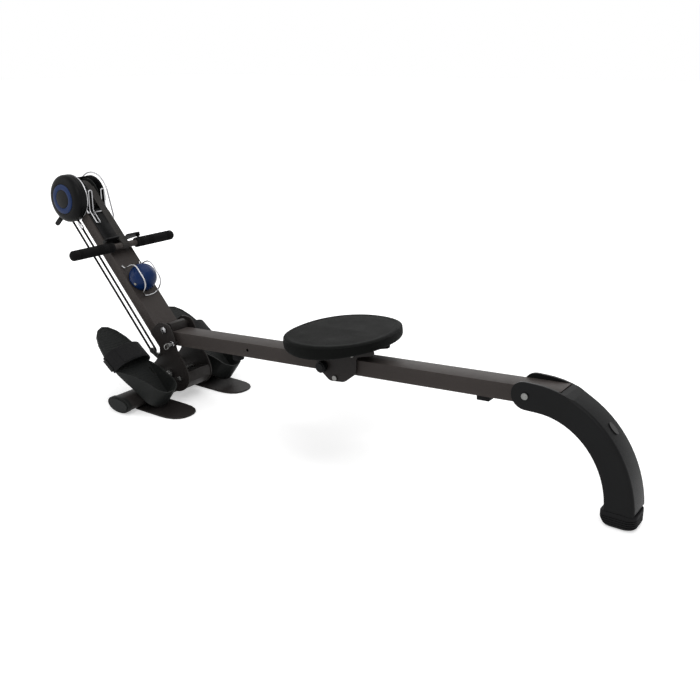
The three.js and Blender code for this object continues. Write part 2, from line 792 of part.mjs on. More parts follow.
function cordBracket() {
  const at = fromMast(cord.lowDepth, cord.low);
  const inner = -plateOut - gap;
  const outer = cord.y - cordPulley.halfWidth - gap - 3;
  const outline = rounded(
    [
      [at.x - 9, at.z + 7],
      [at.x + 8, at.z + 8],
      [at.x + 26, at.z - 6],
      [at.x + 26, at.z - 22],
      [at.x + 4, at.z - 10],
      [at.x - 8, at.z - 7],
    ],
    5,
  );
  const side = acrossY(outline, outer, outer + 3);
  const backBlock = box(at.x + 14, at.x + 25, outer + 1, inner, at.z - 16, at.z - 6);
  const pin = barY(at.x, at.z, outer + 1, inner, cordPulley.axle, facets.bolt);
  return join(side, backBlock, pin);
}

// A point of the mast's own frame, in the machine's frame.
function fromMast(h, t) {
  const a = rad(mast.lean);
  return {
    x: mast.footX + h * Math.cos(a) - t * Math.sin(a),
    z: mast.footZ + h * Math.sin(a) + t * Math.cos(a),
  };
}

machine.add(
  mesh("side_plate_left", sidePlate(-1), plateSteel()),
  mesh("side_plate_right", sidePlate(1), plateSteel()),
  mesh("stabiliser_tube", stabiliserTube(), plateSteel()),
  mesh("stabiliser_cap_left", stabiliserCap(-1), greyPlastic()),
  mesh("stabiliser_cap_right", stabiliserCap(1), greyPlastic()),
  mesh("floor_plate_left", floorTongue(-1), plateSteel()),
  mesh("floor_plate_right", floorTongue(1), plateSteel()),
  mesh("base_web", baseWeb(), plateSteel()),
  mesh("pivot_bolt", throughBolt(pivotAt, pivot.bolt, pivot.head, 6), chrome()),
  mesh("tie_bolt", throughBolt(tie, tie.radius, tie.nut, 9), chrome()),
  mesh("low_bolt", throughBolt(lowBolt, lowBolt.radius, lowBolt.head, 5), chrome()),
  mesh("pin_barrel", pinBarrel(), chrome()),
  mesh("lock_pin", pullPin(), chrome()),
  mesh("cord_bracket", cordBracket(), chrome()),
);

// ---------- Footplates ----------
function soleOutline(inset) {
  const wide = pedal.halfWidth - inset;
  const heel = pedal.heelWidth - inset;
  const end = pedal.halfLength - inset;
  const heelStart = pedal.halfLength - pedal.heelWidth;
  const shape = new THREE.Shape();
  shape.moveTo(-20, -wide);
  shape.bezierCurveTo(40, -wide, 80, -heel, heelStart, -heel);
  shape.absellipse(heelStart, 0, end - heelStart, heel, -Math.PI / 2, Math.PI / 2, false, 0);
  shape.bezierCurveTo(80, heel, 40, wide, -20, wide);
  shape.absellipse(-20, 0, end - 20, wide, Math.PI / 2, 1.5 * Math.PI, false, 0);
  return shape;
}

function footplate() {
  const { sole, wall, cupHeight, halfLength } = pedal;
  const flat = upZ(soleOutline(0), -sole, 0, arcSteps.blend);
  const wedge = rounded(
    [
      [4, -sole + 1],
      [4, 0],
      [52, 30],
      [110, cupHeight - 6],
      [halfLength + 6, cupHeight],
      [halfLength + 6, -sole + 1],
    ],
    8,
  );
  const walls = overlap(upZ(soleOutline(0), -sole + 1, cupHeight, arcSteps.blend), acrossY(wedge, -100, 100));
  const inside = upZ(soleOutline(wall), 0, cupHeight + 1, arcSteps.blend);
  const cup = walls.subtract(solid(inside));
  const boss = join(
    barY(axle.u, axle.n, -22, 22, axle.boss),
    box(axle.u - axle.boss, axle.u + axle.boss, -22, 22, axle.n, -sole + 1),
  );
  const bore = barY(axle.u, axle.n, -24, 24, axle.radius + running);
  const slot = (sign) => {
    const y = [sign * 42, sign * 46].sort((a, b) => a - b);
    return box(26, 56, ...y, -sole - 1, 1);
  };
  return cut(join(flat, cup, boss), bore, slot(-1), slot(1));
}

function strapOver() {
  const inner = pedal.halfWidth + 0.8;
  const outer = inner + footStrap.thickness;
  const under = -pedal.sole - gap;
  const shape = new THREE.Shape();
  shape.moveTo(outer - footStrap.tuck, under - footStrap.thickness);
  shape.lineTo(outer, under - footStrap.thickness);
  shape.lineTo(outer, 0);
  shape.absellipse(0, 0, outer, footStrap.rise + footStrap.thickness, 0, Math.PI, false, 0);
  shape.lineTo(-outer, under - footStrap.thickness);
  shape.lineTo(-outer + footStrap.tuck, under - footStrap.thickness);
  shape.lineTo(-outer + footStrap.tuck, under);
  shape.lineTo(-inner, under);
  shape.lineTo(-inner, 0);
  shape.absellipse(0, 0, inner, footStrap.rise, Math.PI, 0, true, 0);
  shape.lineTo(inner, under);
  shape.lineTo(outer - footStrap.tuck, under);
  shape.closePath();
  const made = new THREE.ExtrudeGeometry(shape, {
    depth: footStrap.back - footStrap.front,
    bevelEnabled: false,
    curveSegments: arcSteps.oval,
  });
  // The shape's own X and Y become the footplate's Y and Z, and the depth runs along its X.
  return made.rotateX(Math.PI / 2).rotateZ(Math.PI / 2).translate(footStrap.front, 0, 0);
}

function strapBuckle(sign) {
  const inner = pedal.halfWidth + 0.8 + footStrap.thickness + gap;
  const y = [sign * inner, sign * (inner + 4)].sort((a, b) => a - b);
  return box(footStrap.front + 8, footStrap.back - 8, ...y, -10, 2);
}

for (const [side, sign] of [["left", -1], ["right", 1]]) {
  const pedalFrame = new THREE.Group();
  pedalFrame.position.set(pedal.x, sign * pedal.y, pedal.z);
  pedalFrame.rotation.y = rad(pedal.tilt);
  pedalFrame.add(
    mesh("footplate_" + side, footplate(), greyPlastic()),
    mesh("foot_strap_" + side, strapOver(), webbing()),
    mesh("strap_buckle_" + side, strapBuckle(sign), chrome()),
  );
  machine.add(pedalFrame);
}

function pedalAxle() {
  const end = pedal.y + 22 + gap;
  const shaft = barY(axleAt.x, axleAt.z, -end - 1, end + 1, axle.radius);
  const nut = (sign) => {
    const y = [sign * end, sign * (end + 7)].sort((a, b) => a - b);
    return barY(axleAt.x, axleAt.z, ...y, axle.nut, 6);
  };
  return join(shaft, nut(-1), nut(1));
}
machine.add(mesh("pedal_axle", pedalAxle(), chrome()));

// ---------- Rail ----------
function railTube() {
  const { start, end, height, wall } = rail;
  const outer = box(start, end, -railHalf, railHalf, -height, 0);
  const bore = box(start - 1, end + 1, -railHalf + wall, railHalf - wall, -height + wall, -wall);
  const boltHole = barY(leg.boltX, -height / 2, -railHalf - 1, railHalf + 1, leg.bolt + gap);
  const pinHole = barY(lockPin.x, lockPin.z, -railHalf - 1, 0, lockPin.radius + running);
  const sideHole = barY(440, -height / 2, -railHalf - 1, 0, 4.5);
  return cut(outer, bore, boltHole, pinHole, sideHole);
}

function railHinge() {
  const { start, height, wall } = rail;
  const inset = wall + gap;
  const plug = box(start - 1, start + 45, -railHalf + inset, railHalf - inset, -height + inset, -inset);
  const { x, z } = pivot;
  const nose = rounded(
    [
      [start - gap, -height],
      [start - gap, 4],
      [x + 10, z + 16],
      [x - 12, z + 16],
      [x - 16, z - 6],
      [x - 2, -height + 4],
    ],
    9,
  );
  const sleeve = barY(x, z, -mastHalf, mastHalf, pivot.sleeve);
  const bore = barY(x, z, -mastHalf - 1, mastHalf + 1, pivot.bolt + running);
  const pinHole = barY(lockPin.x, lockPin.z, -railHalf, -railHalf + 10, lockPin.radius + running);
  return cut(join(plug, acrossY(nose, -railHalf, railHalf), sleeve), bore, pinHole);
}

function legBolt() {
  const start = railHalf + gap + leg.wall + 2 * gap;
  const shank = barY(leg.boltX, -rail.height / 2, -start - 5, start + 5, leg.bolt);
  const left = barY(leg.boltX, -rail.height / 2, -start - 4, -start, 8);
  const right = barY(leg.boltX, -rail.height / 2, start, start + 4, 8, 6);
  return join(shank, left, right);
}

const under = -rail.height - gap;
railFrame.add(
  mesh("rail", railTube(), frameSteel()),
  mesh("rail_hinge", railHinge(), plateSteel()),
  mesh(
    "rail_stop_front",
    bar([stopFront.x, 0, under - stopFront.height], [stopFront.x, 0, under], stopFront.radius, facets.wheel),
    rubber(),
  ),
  mesh(
    "rail_stop_rear",
    box(
      stopRear.x - stopRear.halfLength,
      stopRear.x + stopRear.halfLength,
      -stopRear.halfWidth,
      stopRear.halfWidth,
      under - stopRear.height,
      under,
    ),
    rubber(),
  ),
  mesh("leg_bolt", legBolt(), chrome()),
);

// ---------- Seat and carriage ----------
const carriageIn = railHalf + carriage.clearance;
const carriageOut = carriageIn + carriage.plate;
const lowerAxleZ = -rail.height - gap - roller.lower;
const upperAxleZ = roller.upper + gap;

function carriageBracket() {
  const { top, roof, stripHalf } = carriage;
  const outline = rounded(
    [
      [-stripHalf, top],
      [-stripHalf, 20],
      [-66, 14],
      [-62, lowerAxleZ + 22],
      [-26, lowerAxleZ - 10],
      [20, lowerAxleZ - 8],
      [58, -34],
      [62, 10],
      [stripHalf, 20],
      [stripHalf, top],
    ],
    7,
  );
  const side = (sign) => {
    const y = [sign * carriageIn, sign * carriageOut].sort((a, b) => a - b);
    return acrossY(outline, ...y);
  };
  const deck = box(-stripHalf + 8, stripHalf - 8, -carriageOut, carriageOut, top, top + roof);
  const wall = box(-stripHalf + 8, stripHalf - 8, -carriageOut, -carriageIn, top - 8, top + 1);
  const otherWall = box(-stripHalf + 8, stripHalf - 8, carriageIn, carriageOut, top - 8, top + 1);
  const hole = (x, z, radius) => barY(x, z, -carriageOut - 1, carriageOut + 1, radius, facets.bolt);
  return cut(
    join(side(-1), side(1), wall, otherWall, deck),
    hole(-carriage.upperX, upperAxleZ, roller.axle + running),
    hole(carriage.upperX, upperAxleZ, roller.axle + running),
    hole(carriage.lowerX, lowerAxleZ, roller.axle + running),
    barY(sideKnob.x, sideKnob.z, -carriageOut - 1, 0, sideKnob.stem + running, facets.bolt),
  );
}

// A roller turning on the axle it is pressed to, with a head at each end.
function wheel(x, z, radius) {
  const start = carriageOut + gap;
  const drumPart = barY(x, z, -roller.halfWidth, roller.halfWidth, radius, facets.wheel);
  const shank = barY(x, z, -start - 3, start + 3, roller.axle, facets.bolt);
  const left = barY(x, z, -start - 4, -start, roller.head);
  const right = barY(x, z, start, start + 4, roller.head);
  return join(drumPart, shank, left, right);
}

function clampKnob() {
  const start = -carriageOut - gap;
  const stem = barY(sideKnob.x, sideKnob.z, start - 1, -railHalf - gap, sideKnob.stem, facets.bolt);
  const grip = barY(sideKnob.x, sideKnob.z, start - sideKnob.length, start, sideKnob.radius);
  const rim = barY(sideKnob.x, sideKnob.z, start - sideKnob.length - 3, start - 2, sideKnob.radius - 3);
  return join(stem, grip, rim);
}

function seatPad() {
  const low = seat.underside + seat.board + 2 * gap;
  const high = low + seat.pad;
  const { halfLength, halfWidth } = seat;
  const lower = upZ(ellipse(0, 0, halfLength - 4, halfWidth - 4), low, low + 4, arcSteps.oval + 2);
  const middle = upZ(ellipse(0, 0, halfLength, halfWidth), low + 3, high - 7, arcSteps.oval + 2);
  const upper = upZ(ellipse(0, 0, halfLength - 5, halfWidth - 5), high - 8, high - 3, arcSteps.oval + 2);
  const crown = upZ(ellipse(0, 0, halfLength - 14, halfWidth - 14), high - 4, high, arcSteps.oval + 2);
  return join(lower, middle, upper, crown);
}

seatFrame.add(
  mesh("carriage_bracket", carriageBracket(), frameSteel()),
  mesh("upper_roller_front", wheel(-carriage.upperX, upperAxleZ, roller.upper), greyPlastic()),
  mesh("upper_roller_rear", wheel(carriage.upperX, upperAxleZ, roller.upper), greyPlastic()),
  mesh("lower_roller", wheel(carriage.lowerX, lowerAxleZ, roller.lower), greyPlastic()),
  mesh("seat_knob", clampKnob(), blackPlastic()),
  mesh(
    "seat_board",
    upZ(
      ellipse(0, 0, seat.halfLength - 12, seat.halfWidth - 12),
      seat.underside + gap,
      seat.underside + gap + seat.board,
    ),
    blackPlastic(),
  ),
  mesh("seat_pad", seatPad(), vinyl()),
);

// ---------- Rear leg ----------
const legHalf = railHalf + gap + leg.wall + gap;
const arcX = 20; // from the bolt to the arc's centre

// The leg's side: an ear round the bolt, then two arcs down to the foot.
function legOutline(inset) {
  const shape = new THREE.Shape();
  const base = foot.height + gap - legBoltAt.z;
  const outerA = leg.outerReach - inset;
  const outerB = leg.outerRise - inset;
  const centre = leg.centreZ - legBoltAt.z;
  const rise = (base - centre) / outerB;
  const innerTop = -leg.innerDrop + inset;
  const innerX = 30;
  const innerB = innerTop - base;
  shape.moveTo(innerX, innerTop);
  shape.absellipse(innerX, base, leg.innerReach + inset, innerB, Math.PI / 2, 0, true, 0);
  shape.lineTo(arcX + outerA * Math.sqrt(1 - rise * rise), base);
  shape.absellipse(arcX, centre, outerA, outerB, Math.asin(rise), Math.PI / 2, false, 0);
  const earTop = centre + outerB;
  shape.lineTo(0, earTop);
  shape.bezierCurveTo(-leg.ear * 0.6, earTop, -leg.ear + inset, 20, -leg.ear + inset, 0);
  shape.bezierCurveTo(-leg.ear + inset, -20, -16, innerTop, 0, innerTop);
  shape.closePath();
  return shape;
}

function rearLeg() {
  const inner = railHalf + gap + gap;
  const body = acrossY(legOutline(0), -legHalf, legHalf, arcSteps.oval);
  const channel = acrossY(legChannel(), -inner, inner, arcSteps.oval);
  const sweep = barY(0, 0, -inner, inner, Math.hypot(rail.end - leg.boltX, rail.height / 2) + 1.5, facets.drum);
  const bore = barY(0, 0, -legHalf - 1, legHalf + 1, leg.bolt + running);
  return cut(body, channel, sweep, bore);
}

// The hollow under the leg's back, open towards the front.
function legChannel() {
  const base = foot.height + gap - legBoltAt.z;
  const centre = leg.centreZ - legBoltAt.z;
  const outerA = leg.outerReach - leg.skin;
  const outerB = leg.outerRise - leg.skin;
  const low = base + leg.skin;
  const rise = (low - centre) / outerB;
  const shape = new THREE.Shape();
  shape.moveTo(-60, low);
  shape.lineTo(arcX + outerA * Math.sqrt(1 - rise * rise), low);
  shape.absellipse(arcX, centre, outerA, outerB, Math.asin(rise), Math.PI / 2 - 0.3, false, 0);
  shape.lineTo(-60, 0);
  shape.closePath();
  return shape;
}

function rearFoot() {
  const centre = leg.centreZ - legBoltAt.z;
  const base = foot.height + gap - legBoltAt.z;
  const rise = (base - centre) / leg.outerRise;
  const back = arcX + leg.outerReach * Math.sqrt(1 - rise * rise);
  const front = 30 + leg.innerReach;
  const floor = -legBoltAt.z;
  const outline = rounded(
    [
      [front - 4, floor + foot.height],
      [front - 4, floor + 12],
      [front + 14, floor],
      [back - 8, floor],
      [back + foot.lip, floor + 14],
      [back + foot.lip, floor + foot.height],
    ],
    6,
  );
  const half = legHalf + 1;
  return acrossY(outline, -half, half);
}

function legBadge() {
  // Flush on the leg's back, where the arc faces up and to the rear.
  const angle = rad(46);
  const centre = leg.centreZ - legBoltAt.z;
  const x = arcX + leg.outerReach * Math.cos(angle);
  const z = centre + leg.outerRise * Math.sin(angle);
  const normal = new THREE.Vector2(Math.cos(angle) / leg.outerReach, Math.sin(angle) / leg.outerRise).normalize();
  const disc = new THREE.CylinderGeometry(1, 1, badge.thickness, facets.wheel);
  disc.scale(badge.halfHeight, 1, badge.halfWidth).rotateX(Math.PI / 2);
  disc.rotateY(Math.atan2(normal.x, normal.y));
  const lift = badge.thickness / 2 + gap;
  return disc.translate(x + normal.x * lift, 0, z + normal.y * lift);
}

const legFrame = new THREE.Group();
legFrame.position.set(legBoltAt.x, 0, legBoltAt.z);
legFrame.add(
  mesh("rear_leg", rearLeg(), blackPlastic()),
  mesh("rear_foot", rearFoot(), rubber()),
  mesh("leg_badge", legBadge(), greyPlastic()),
);
machine.add(legFrame);

// ---------- Origin: middle of the box, on the floor ----------
const bounds = new THREE.Box3().setFromObject(machine, true);
const middle = bounds.getCenter(new THREE.Vector3());
machine.position.set(-middle.x, 0, -bounds.min.z);
const part = new THREE.Group();
part.add(machine);

export default part;
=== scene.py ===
# %% [markdown]
# # A folding rowing machine
# The machine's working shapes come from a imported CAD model, which this script loads as a fixed frame.
# Blender then gives each piece the shape and finish that the eye sees: padding, webbing, chromed wire,
# painted steel and moulded plastic. Everything is in metres, with Z up and X from the mast to the rear leg.

# %% Load the frame
import json
import math

import bmesh
import bpy
from mathutils import Matrix, Vector, noise


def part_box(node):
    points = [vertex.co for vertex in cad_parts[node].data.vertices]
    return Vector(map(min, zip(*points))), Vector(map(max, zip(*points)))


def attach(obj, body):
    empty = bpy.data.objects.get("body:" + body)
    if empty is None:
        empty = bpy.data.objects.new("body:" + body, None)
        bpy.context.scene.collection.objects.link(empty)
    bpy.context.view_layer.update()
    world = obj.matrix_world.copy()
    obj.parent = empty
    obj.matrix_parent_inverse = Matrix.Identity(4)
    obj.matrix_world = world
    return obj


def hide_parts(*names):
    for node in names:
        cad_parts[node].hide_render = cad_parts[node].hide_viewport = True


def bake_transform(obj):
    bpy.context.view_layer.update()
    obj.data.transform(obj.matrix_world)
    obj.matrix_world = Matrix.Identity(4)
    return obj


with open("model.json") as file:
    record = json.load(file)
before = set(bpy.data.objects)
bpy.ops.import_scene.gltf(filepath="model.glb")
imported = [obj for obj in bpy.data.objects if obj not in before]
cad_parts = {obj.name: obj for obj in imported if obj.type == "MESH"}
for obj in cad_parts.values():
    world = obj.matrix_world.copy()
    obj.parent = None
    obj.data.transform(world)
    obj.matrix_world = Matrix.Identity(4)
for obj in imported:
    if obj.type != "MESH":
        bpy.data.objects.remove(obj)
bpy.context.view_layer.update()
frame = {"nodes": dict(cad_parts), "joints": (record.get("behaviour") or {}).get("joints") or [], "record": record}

joints = {j["name"]: j for j in frame["joints"]}
body_of_node = {n: b for b, nodes in frame["record"]["behaviour"]["bodies"].items() for n in nodes}
slot_of_node = {row["node"]: row["material_slot"] for row in frame["record"]["subparts"]}
MM = 0.001

# %% [markdown]
# ## The camera
# A camera is a lens, a place and a direction. A lens of 45 mm on a 36 mm sensor looks at this machine
# from the rower's left, a little above it, so that the rail runs down to the right.

# %% Camera
CAMERA_AT = Vector((1.3759, -1.7123, 0.9733))
AZIMUTH = math.radians(35.4)
DOWN = math.radians(17.4)
ROLL = math.radians(-0.2)
LENS = 45.03
SENSOR = 36
SHIFT_Y = -0.0319


def aim(azimuth, down, roll):
    """The rotation of a camera that looks along an azimuth from +Y, tipped down and rolled."""
    level = math.cos(down)
    forward = Vector((-math.sin(azimuth) * level, math.cos(azimuth) * level, -math.sin(down)))
    turn = forward.to_track_quat("-Z", "Y").to_matrix().to_4x4()
    return turn @ Matrix.Rotation(roll, 4, "Z")


camera_data = bpy.data.cameras.new("camera")
camera_data.sensor_width = SENSOR
camera_data.lens = LENS
camera_data.shift_y = SHIFT_Y
camera = bpy.data.objects.new("camera", camera_data)
camera.matrix_world = Matrix.Translation(CAMERA_AT) @ aim(AZIMUTH, DOWN, ROLL)
bpy.context.scene.collection.objects.link(camera)
bpy.context.scene.camera = camera
print("camera at", tuple(round(v, 3) for v in CAMERA_AT))

# %% [markdown]
# ## Lamps
# The machine is shown as in a studio, with wide soft lamps. Small lamps would draw hard shadows, and one
# strong lamp would wash the dark paint out, so there are four large ones at a low power: a key, a fill
# on the mast's side, one overhead, and one behind to draw the far edges.

# %% Lamps
bpy.context.scene.view_settings.view_transform = "Standard"


def lamp(name, place, target, size, power):
    """A square area lamp that faces its target: metres, and watts."""
    data = bpy.data.lights.new(name, "AREA")
    data.size = size
    data.energy = power
    made = bpy.data.objects.new(name, data)
    made.location = place
    made.rotation_euler = (Vector(target) - Vector(place)).to_track_quat("-Z", "Y").to_euler()
    bpy.context.scene.collection.objects.link(made)


lamp("key_lamp", (1.6, -2.6, 3.0), (0, 0, 0.25), 2.2, 62)
lamp("fill_lamp", (-2.4, -2.3, 1.7), (-0.6, 0, 0.3), 2.2, 27)
lamp("top_lamp", (0.2, 0.8, 3.4), (0, 0, 0.2), 3.0, 48)
lamp("back_lamp", (-1.0, 3.2, 1.6), (0, 0, 0.3), 2.0, 22)
print("four lamps")

# %% [markdown]
# ## Shader maths as plain expressions
# A material is a network of nodes. Written node by node it is hard to read, so a small class wraps a
# socket and lets Python's operators add the Math nodes: `1 - mask` makes a Subtract node, and so on.
# Any other kind of node comes from one method, which takes its type, its settings and its inputs.


# %% Socket wrapper
class Value:
    """An output socket, with operators that add Math nodes to its tree."""

    def __init__(self, tree, socket):
        self.tree = tree
        self.socket = socket

    def _maths(self, operation, a, b=0.0):
        made = self.tree.nodes.new("ShaderNodeMath")
        made.operation = operation
        for socket, given in zip(made.inputs, (a, b)):
            connect(self.tree, given, socket)
        return Value(self.tree, made.outputs[0])

    def __add__(self, other):
        return self._maths("ADD", self, other)

    __radd__ = __add__

    def __mul__(self, other):
        return self._maths("MULTIPLY", self, other)

    __rmul__ = __mul__

    def __sub__(self, other):
        return self._maths("SUBTRACT", self, other)

    def __rsub__(self, other):
        return self._maths("SUBTRACT", other, self)

    def clamp(self):
        return self._maths("MAXIMUM", self._maths("MINIMUM", self, 1.0), 0.0)

    def wave(self):
        return self._maths("SINE", self)


print("values wrapped")


# %% Any other node
def connect(tree, given, socket):
    """Links a Value to a socket, or writes a plain number or colour on it."""
    if isinstance(given, Value):
        tree.links.new(given.socket, socket)
    else:
        socket.default_value = given


def add_node(tree, kind, settings=None, output=0, **inputs):
    """Any node: its settings first, then its sockets, named with _ for a space."""
    made = tree.nodes.new("ShaderNode" + kind)
    for key, given in (settings or {}).items():
        if key == "stops":
            set_stops(made.color_ramp, given)
        else:
            setattr(made, key, given)
    for key, given in inputs.items():
        name = int(key[1:]) if key[0] == "i" and key[1:].isdigit() else key.replace("_", " ")
        connect(tree, given, made.inputs[name])
    return Value(tree, made.outputs[output])


def set_stops(ramp, stops):
    """Gives the two stops of a colour ramp their places and grey levels."""
    for element, (place, level) in zip(ramp.elements, stops):
        element.position = place
        element.color = (level, level, level, 1)


print("node helper ready")

# %% [markdown]
# ## A finish under way
# Every finish starts from the same four things: a place on the object, soft noise, a mask of its worn
# edges, and a shader at the end. A class that holds them keeps each finish below to a few lines. The
# place is the object's own coordinates, which need no unwrapping and keep real sizes.

# %% Finish
NOISE_ROUGHNESS = 0.55


class Finish:
    """A material under way: its tree, its place on the object, and the shader that ends it."""

    def __init__(self, name, **constants):
        self.material = bpy.data.materials.new(name)
        self.material.use_nodes = True
        self.tree = self.material.node_tree
        self.shader = self.tree.nodes["Principled BSDF"]
        for key, given in constants.items():
            self.shader.inputs[key.replace("_", " ")].default_value = given
        self.place = add_node(self.tree, "TexCoord", output="Object")

    def noise(self, scale, detail=3.0):
        return add_node(
            self.tree, "TexNoise", Vector=self.place, Scale=scale, Detail=detail, Roughness=NOISE_ROUGHNESS
        )

    def blend(self, factor, a, b):
        """One colour where the factor is 0, the other where it is 1."""
        made = self.tree.nodes.new("ShaderNodeMix")
        made.data_type = "RGBA"
        connect(self.tree, factor, made.inputs["Factor"])
        connect(self.tree, (*a, 1) if isinstance(a, tuple) else a, made.inputs["A"])
        connect(self.tree, (*b, 1) if isinstance(b, tuple) else b, made.inputs["B"])
        return Value(self.tree, made.outputs["Result"])

    def axis(self, which):
        return add_node(self.tree, "SeparateXYZ", output=which, Vector=self.place)

    def edges(self, low=0.52, high=0.58):
        """1 along worn, convex edges and 0 on flat ground."""
        point = add_node(self.tree, "NewGeometry", output="Pointiness")
        return add_node(self.tree, "ValToRGB", {"stops": ((low, 0.0), (high, 1.0))}, Fac=point)

    def bump(self, height, strength, distance):
        made = add_node(self.tree, "Bump", Height=height, Strength=strength, Distance=distance)
        connect(self.tree, made, self.shader.inputs["Normal"])

    def done(self, colour, roughness=None):
        connect(self.tree, colour, self.shader.inputs["Base Color"])
        if roughness is not None:
            connect(self.tree, roughness, self.shader.inputs["Roughness"])
        return self.material


print("finish helper ready")

# %% [markdown]
# ## Floor and background
# A white studio could be lit until it is white, but that much light would bleach the machine. Here the
# floor and the world glow only for rays that come from the camera, from a mirror or through glass, so
# the lamps stay low. Near the machine the floor glows less, and there a faint shadow shows on it.


# %% Floor
def shown_white(tree):
    """1 for rays from the camera, mirrors and glass, and 0 for the light that falls on the machine."""
    camera_ray, mirror_ray, glass_ray = (
        add_node(tree, "LightPath", output=f"Is {ray} Ray") for ray in ("Camera", "Glossy", "Transmission")
    )
    return (camera_ray + mirror_ray + glass_ray).clamp()


NEAR_GLOW = 0.36
FULL_GLOW_AT = 0.3  # one over the distance, in metres, at which the floor is plain white by itself
FLOOR_REACH = 30
FLOOR_GAP = 0.4 * MM  # the floor lies this far under the feet, so that their undersides don't flicker
white_floor = Finish("studio_floor", Roughness=0.9, Specular_IOR_Level=0.1, Base_Color=(0.86, 0.86, 0.86, 1))
away = add_node(
    white_floor.tree, "VectorMath", {"operation": "LENGTH"}, output="Value", i0=white_floor.place
)
glow = (away * FULL_GLOW_AT).clamp() * (1 - NEAR_GLOW) + NEAR_GLOW
shader = white_floor.shader
connect(white_floor.tree, shown_white(white_floor.tree) * glow, shader.inputs["Emission Color"])
shader.inputs["Emission Strength"].default_value = 1

corners = [(x * FLOOR_REACH, y * FLOOR_REACH, 0) for x, y in ((-1, -1), (1, -1), (1, 1), (-1, 1))]
floor_mesh = bpy.data.meshes.new("studio_floor")
floor_mesh.from_pydata(corners, [], [(0, 1, 2, 3)])
floor_mesh.materials.append(white_floor.material)
floor = bpy.data.objects.new("studio_floor", floor_mesh)
floor.location.z = -FLOOR_GAP
bpy.context.scene.collection.objects.link(floor)
print("floor of", 2 * FLOOR_REACH, "m")

# %% World
WORLD_LEVEL = 0.3
world = bpy.data.worlds.new("studio")
world.use_nodes = True
bpy.context.scene.world = world
sky = world.node_tree
plain = sky.nodes["Background"]
plain.inputs["Color"].default_value = (1, 1, 1, 1)
connect(sky, shown_white(sky) * (1 - WORLD_LEVEL) + WORLD_LEVEL, plain.inputs["Strength"])
print("world at", WORLD_LEVEL)

# %% [markdown]
# ## Painted steel
# The mast, rail and brackets are steel tube and plate with a satin grey-brown powder coat. Powder paint
# has a fine orange-peel skin, slight cloudiness, and a paler, smoother line where edges rub.


# %% Paint
def toned(colour, factor, lift=0.0):
    """A colour made darker or paler."""
    return tuple(min(c * factor + lift, 1.0) for c in colour)


def paint(name, colour, worn, roughness):
    finish = Finish(name, Specular_IOR_Level=0.13)
    cloud = finish.noise(9.0)
    fleck = finish.noise(900.0, 2.0)
    edge = finish.edges() * (finish.noise(60.0) - 0.35).clamp() * 1.6
    tone = finish.blend(cloud, toned(colour, 0.86), toned(colour, 1.14))
    tone = finish.blend((fleck - 0.5).clamp() * 1.2, tone, worn)
    tone = finish.blend(edge.clamp() * 0.5, tone, worn)
    finish.bump(finish.noise(420.0, 2.0), 0.12, 0.0004)
    return finish.done(tone, cloud * 0.12 + roughness)


frame_paint = paint("frame_paint", (0.034, 0.0285, 0.0265), (0.1, 0.088, 0.08), 0.48)
dark_paint = paint("dark_paint", (0.0145, 0.0125, 0.012), (0.06, 0.056, 0.052), 0.4)
print("two paints")

# %% [markdown]
# ## Chrome and zinc
# Chrome plate is a mirror with faint smears in its gloss, and zinc plate on bolts is greyer and softer.
# A bare metal shader looks computed, so a slow noise moves the gloss and another barely moves the form.


# %% Chrome
def bright_metal(name, colour, roughness):
    finish = Finish(name, Metallic=1.0)
    smear = finish.noise(35.0, 4.0)
    tone = finish.blend(smear, toned(colour, 0.9), colour)
    finish.bump(finish.noise(260.0, 2.0), 0.03, 0.0002)
    return finish.done(tone, smear * 0.14 + roughness)


chrome = bright_metal("chrome", (0.38, 0.38, 0.39), 0.12)
zinc = bright_metal("zinc_plate", (0.2, 0.2, 0.195), 0.3)
print("two bright metals")

# %% [markdown]
# ## Plastic, rubber and foam
# Moulded plastic has a fine spark-eroded grain and goes a little shiny where it is handled. Rubber and
# foam are duller and coarser. They differ only in numbers, so one function makes them all.


# %% Plastic and rubber
def moulded(name, colour, roughness, grain=1500.0, grain_depth=0.35, shine=0.09, coat=0.0):
    finish = Finish(name, Specular_IOR_Level=shine, Coat_Weight=coat, Coat_Roughness=0.12)
    cloud = finish.noise(14.0, 4.0)
    rubbed = finish.edges(0.57, 0.67)
    tone = finish.blend(cloud, toned(colour, 0.8), toned(colour, 1.25))
    tone = finish.blend(rubbed * 0.4, tone, toned(colour, 2.2, 0.01))
    finish.bump(finish.noise(grain, 2.0), grain_depth, 0.0003)
    return finish.done(tone, cloud * 0.14 + roughness - rubbed * 0.08)


black_plastic = moulded("black_plastic", (0.0065, 0.0067, 0.007), 0.36)
shell_plastic = moulded("shell_plastic", (0.0055, 0.0057, 0.006), 0.3, grain_depth=0.2, shine=0.06)
grey_plastic = moulded("grey_plastic", (0.0125, 0.0135, 0.013), 0.42)
blue_plastic = moulded("blue_plastic", (0.003, 0.018, 0.078), 0.24, grain_depth=0.08, shine=0.12, coat=0.02)
badge_plastic = moulded("badge_plastic", (0.003, 0.003, 0.003), 0.14, grain_depth=0.02, shine=0.35)
black_rubber = moulded("black_rubber", (0.008, 0.008, 0.0085), 0.58, grain=700.0, grain_depth=0.5)
foam_grip = moulded("foam_grip", (0.0062, 0.0061, 0.0063), 0.7, grain=1100.0, grain_depth=0.9, shine=0.05)
pale_plug = moulded("pale_plug", (0.34, 0.33, 0.27), 0.4)
print("plastics and rubbers")

# %% [markdown]
# ## Woven webbing
# Polyester webbing is a plain weave: ribs run across it and threads along it. Two crossed waves in the
# bump give the weave at thread size, and the same waves paint its dips darker and its crests paler, as
# painted shade and painted highlight. A little noise keeps the dye uneven.

# %% Webbing
THREAD = 2600.0  # of the weave's wave, in radians a metre
WARP = 1.6  # how much closer the threads lie across the strap


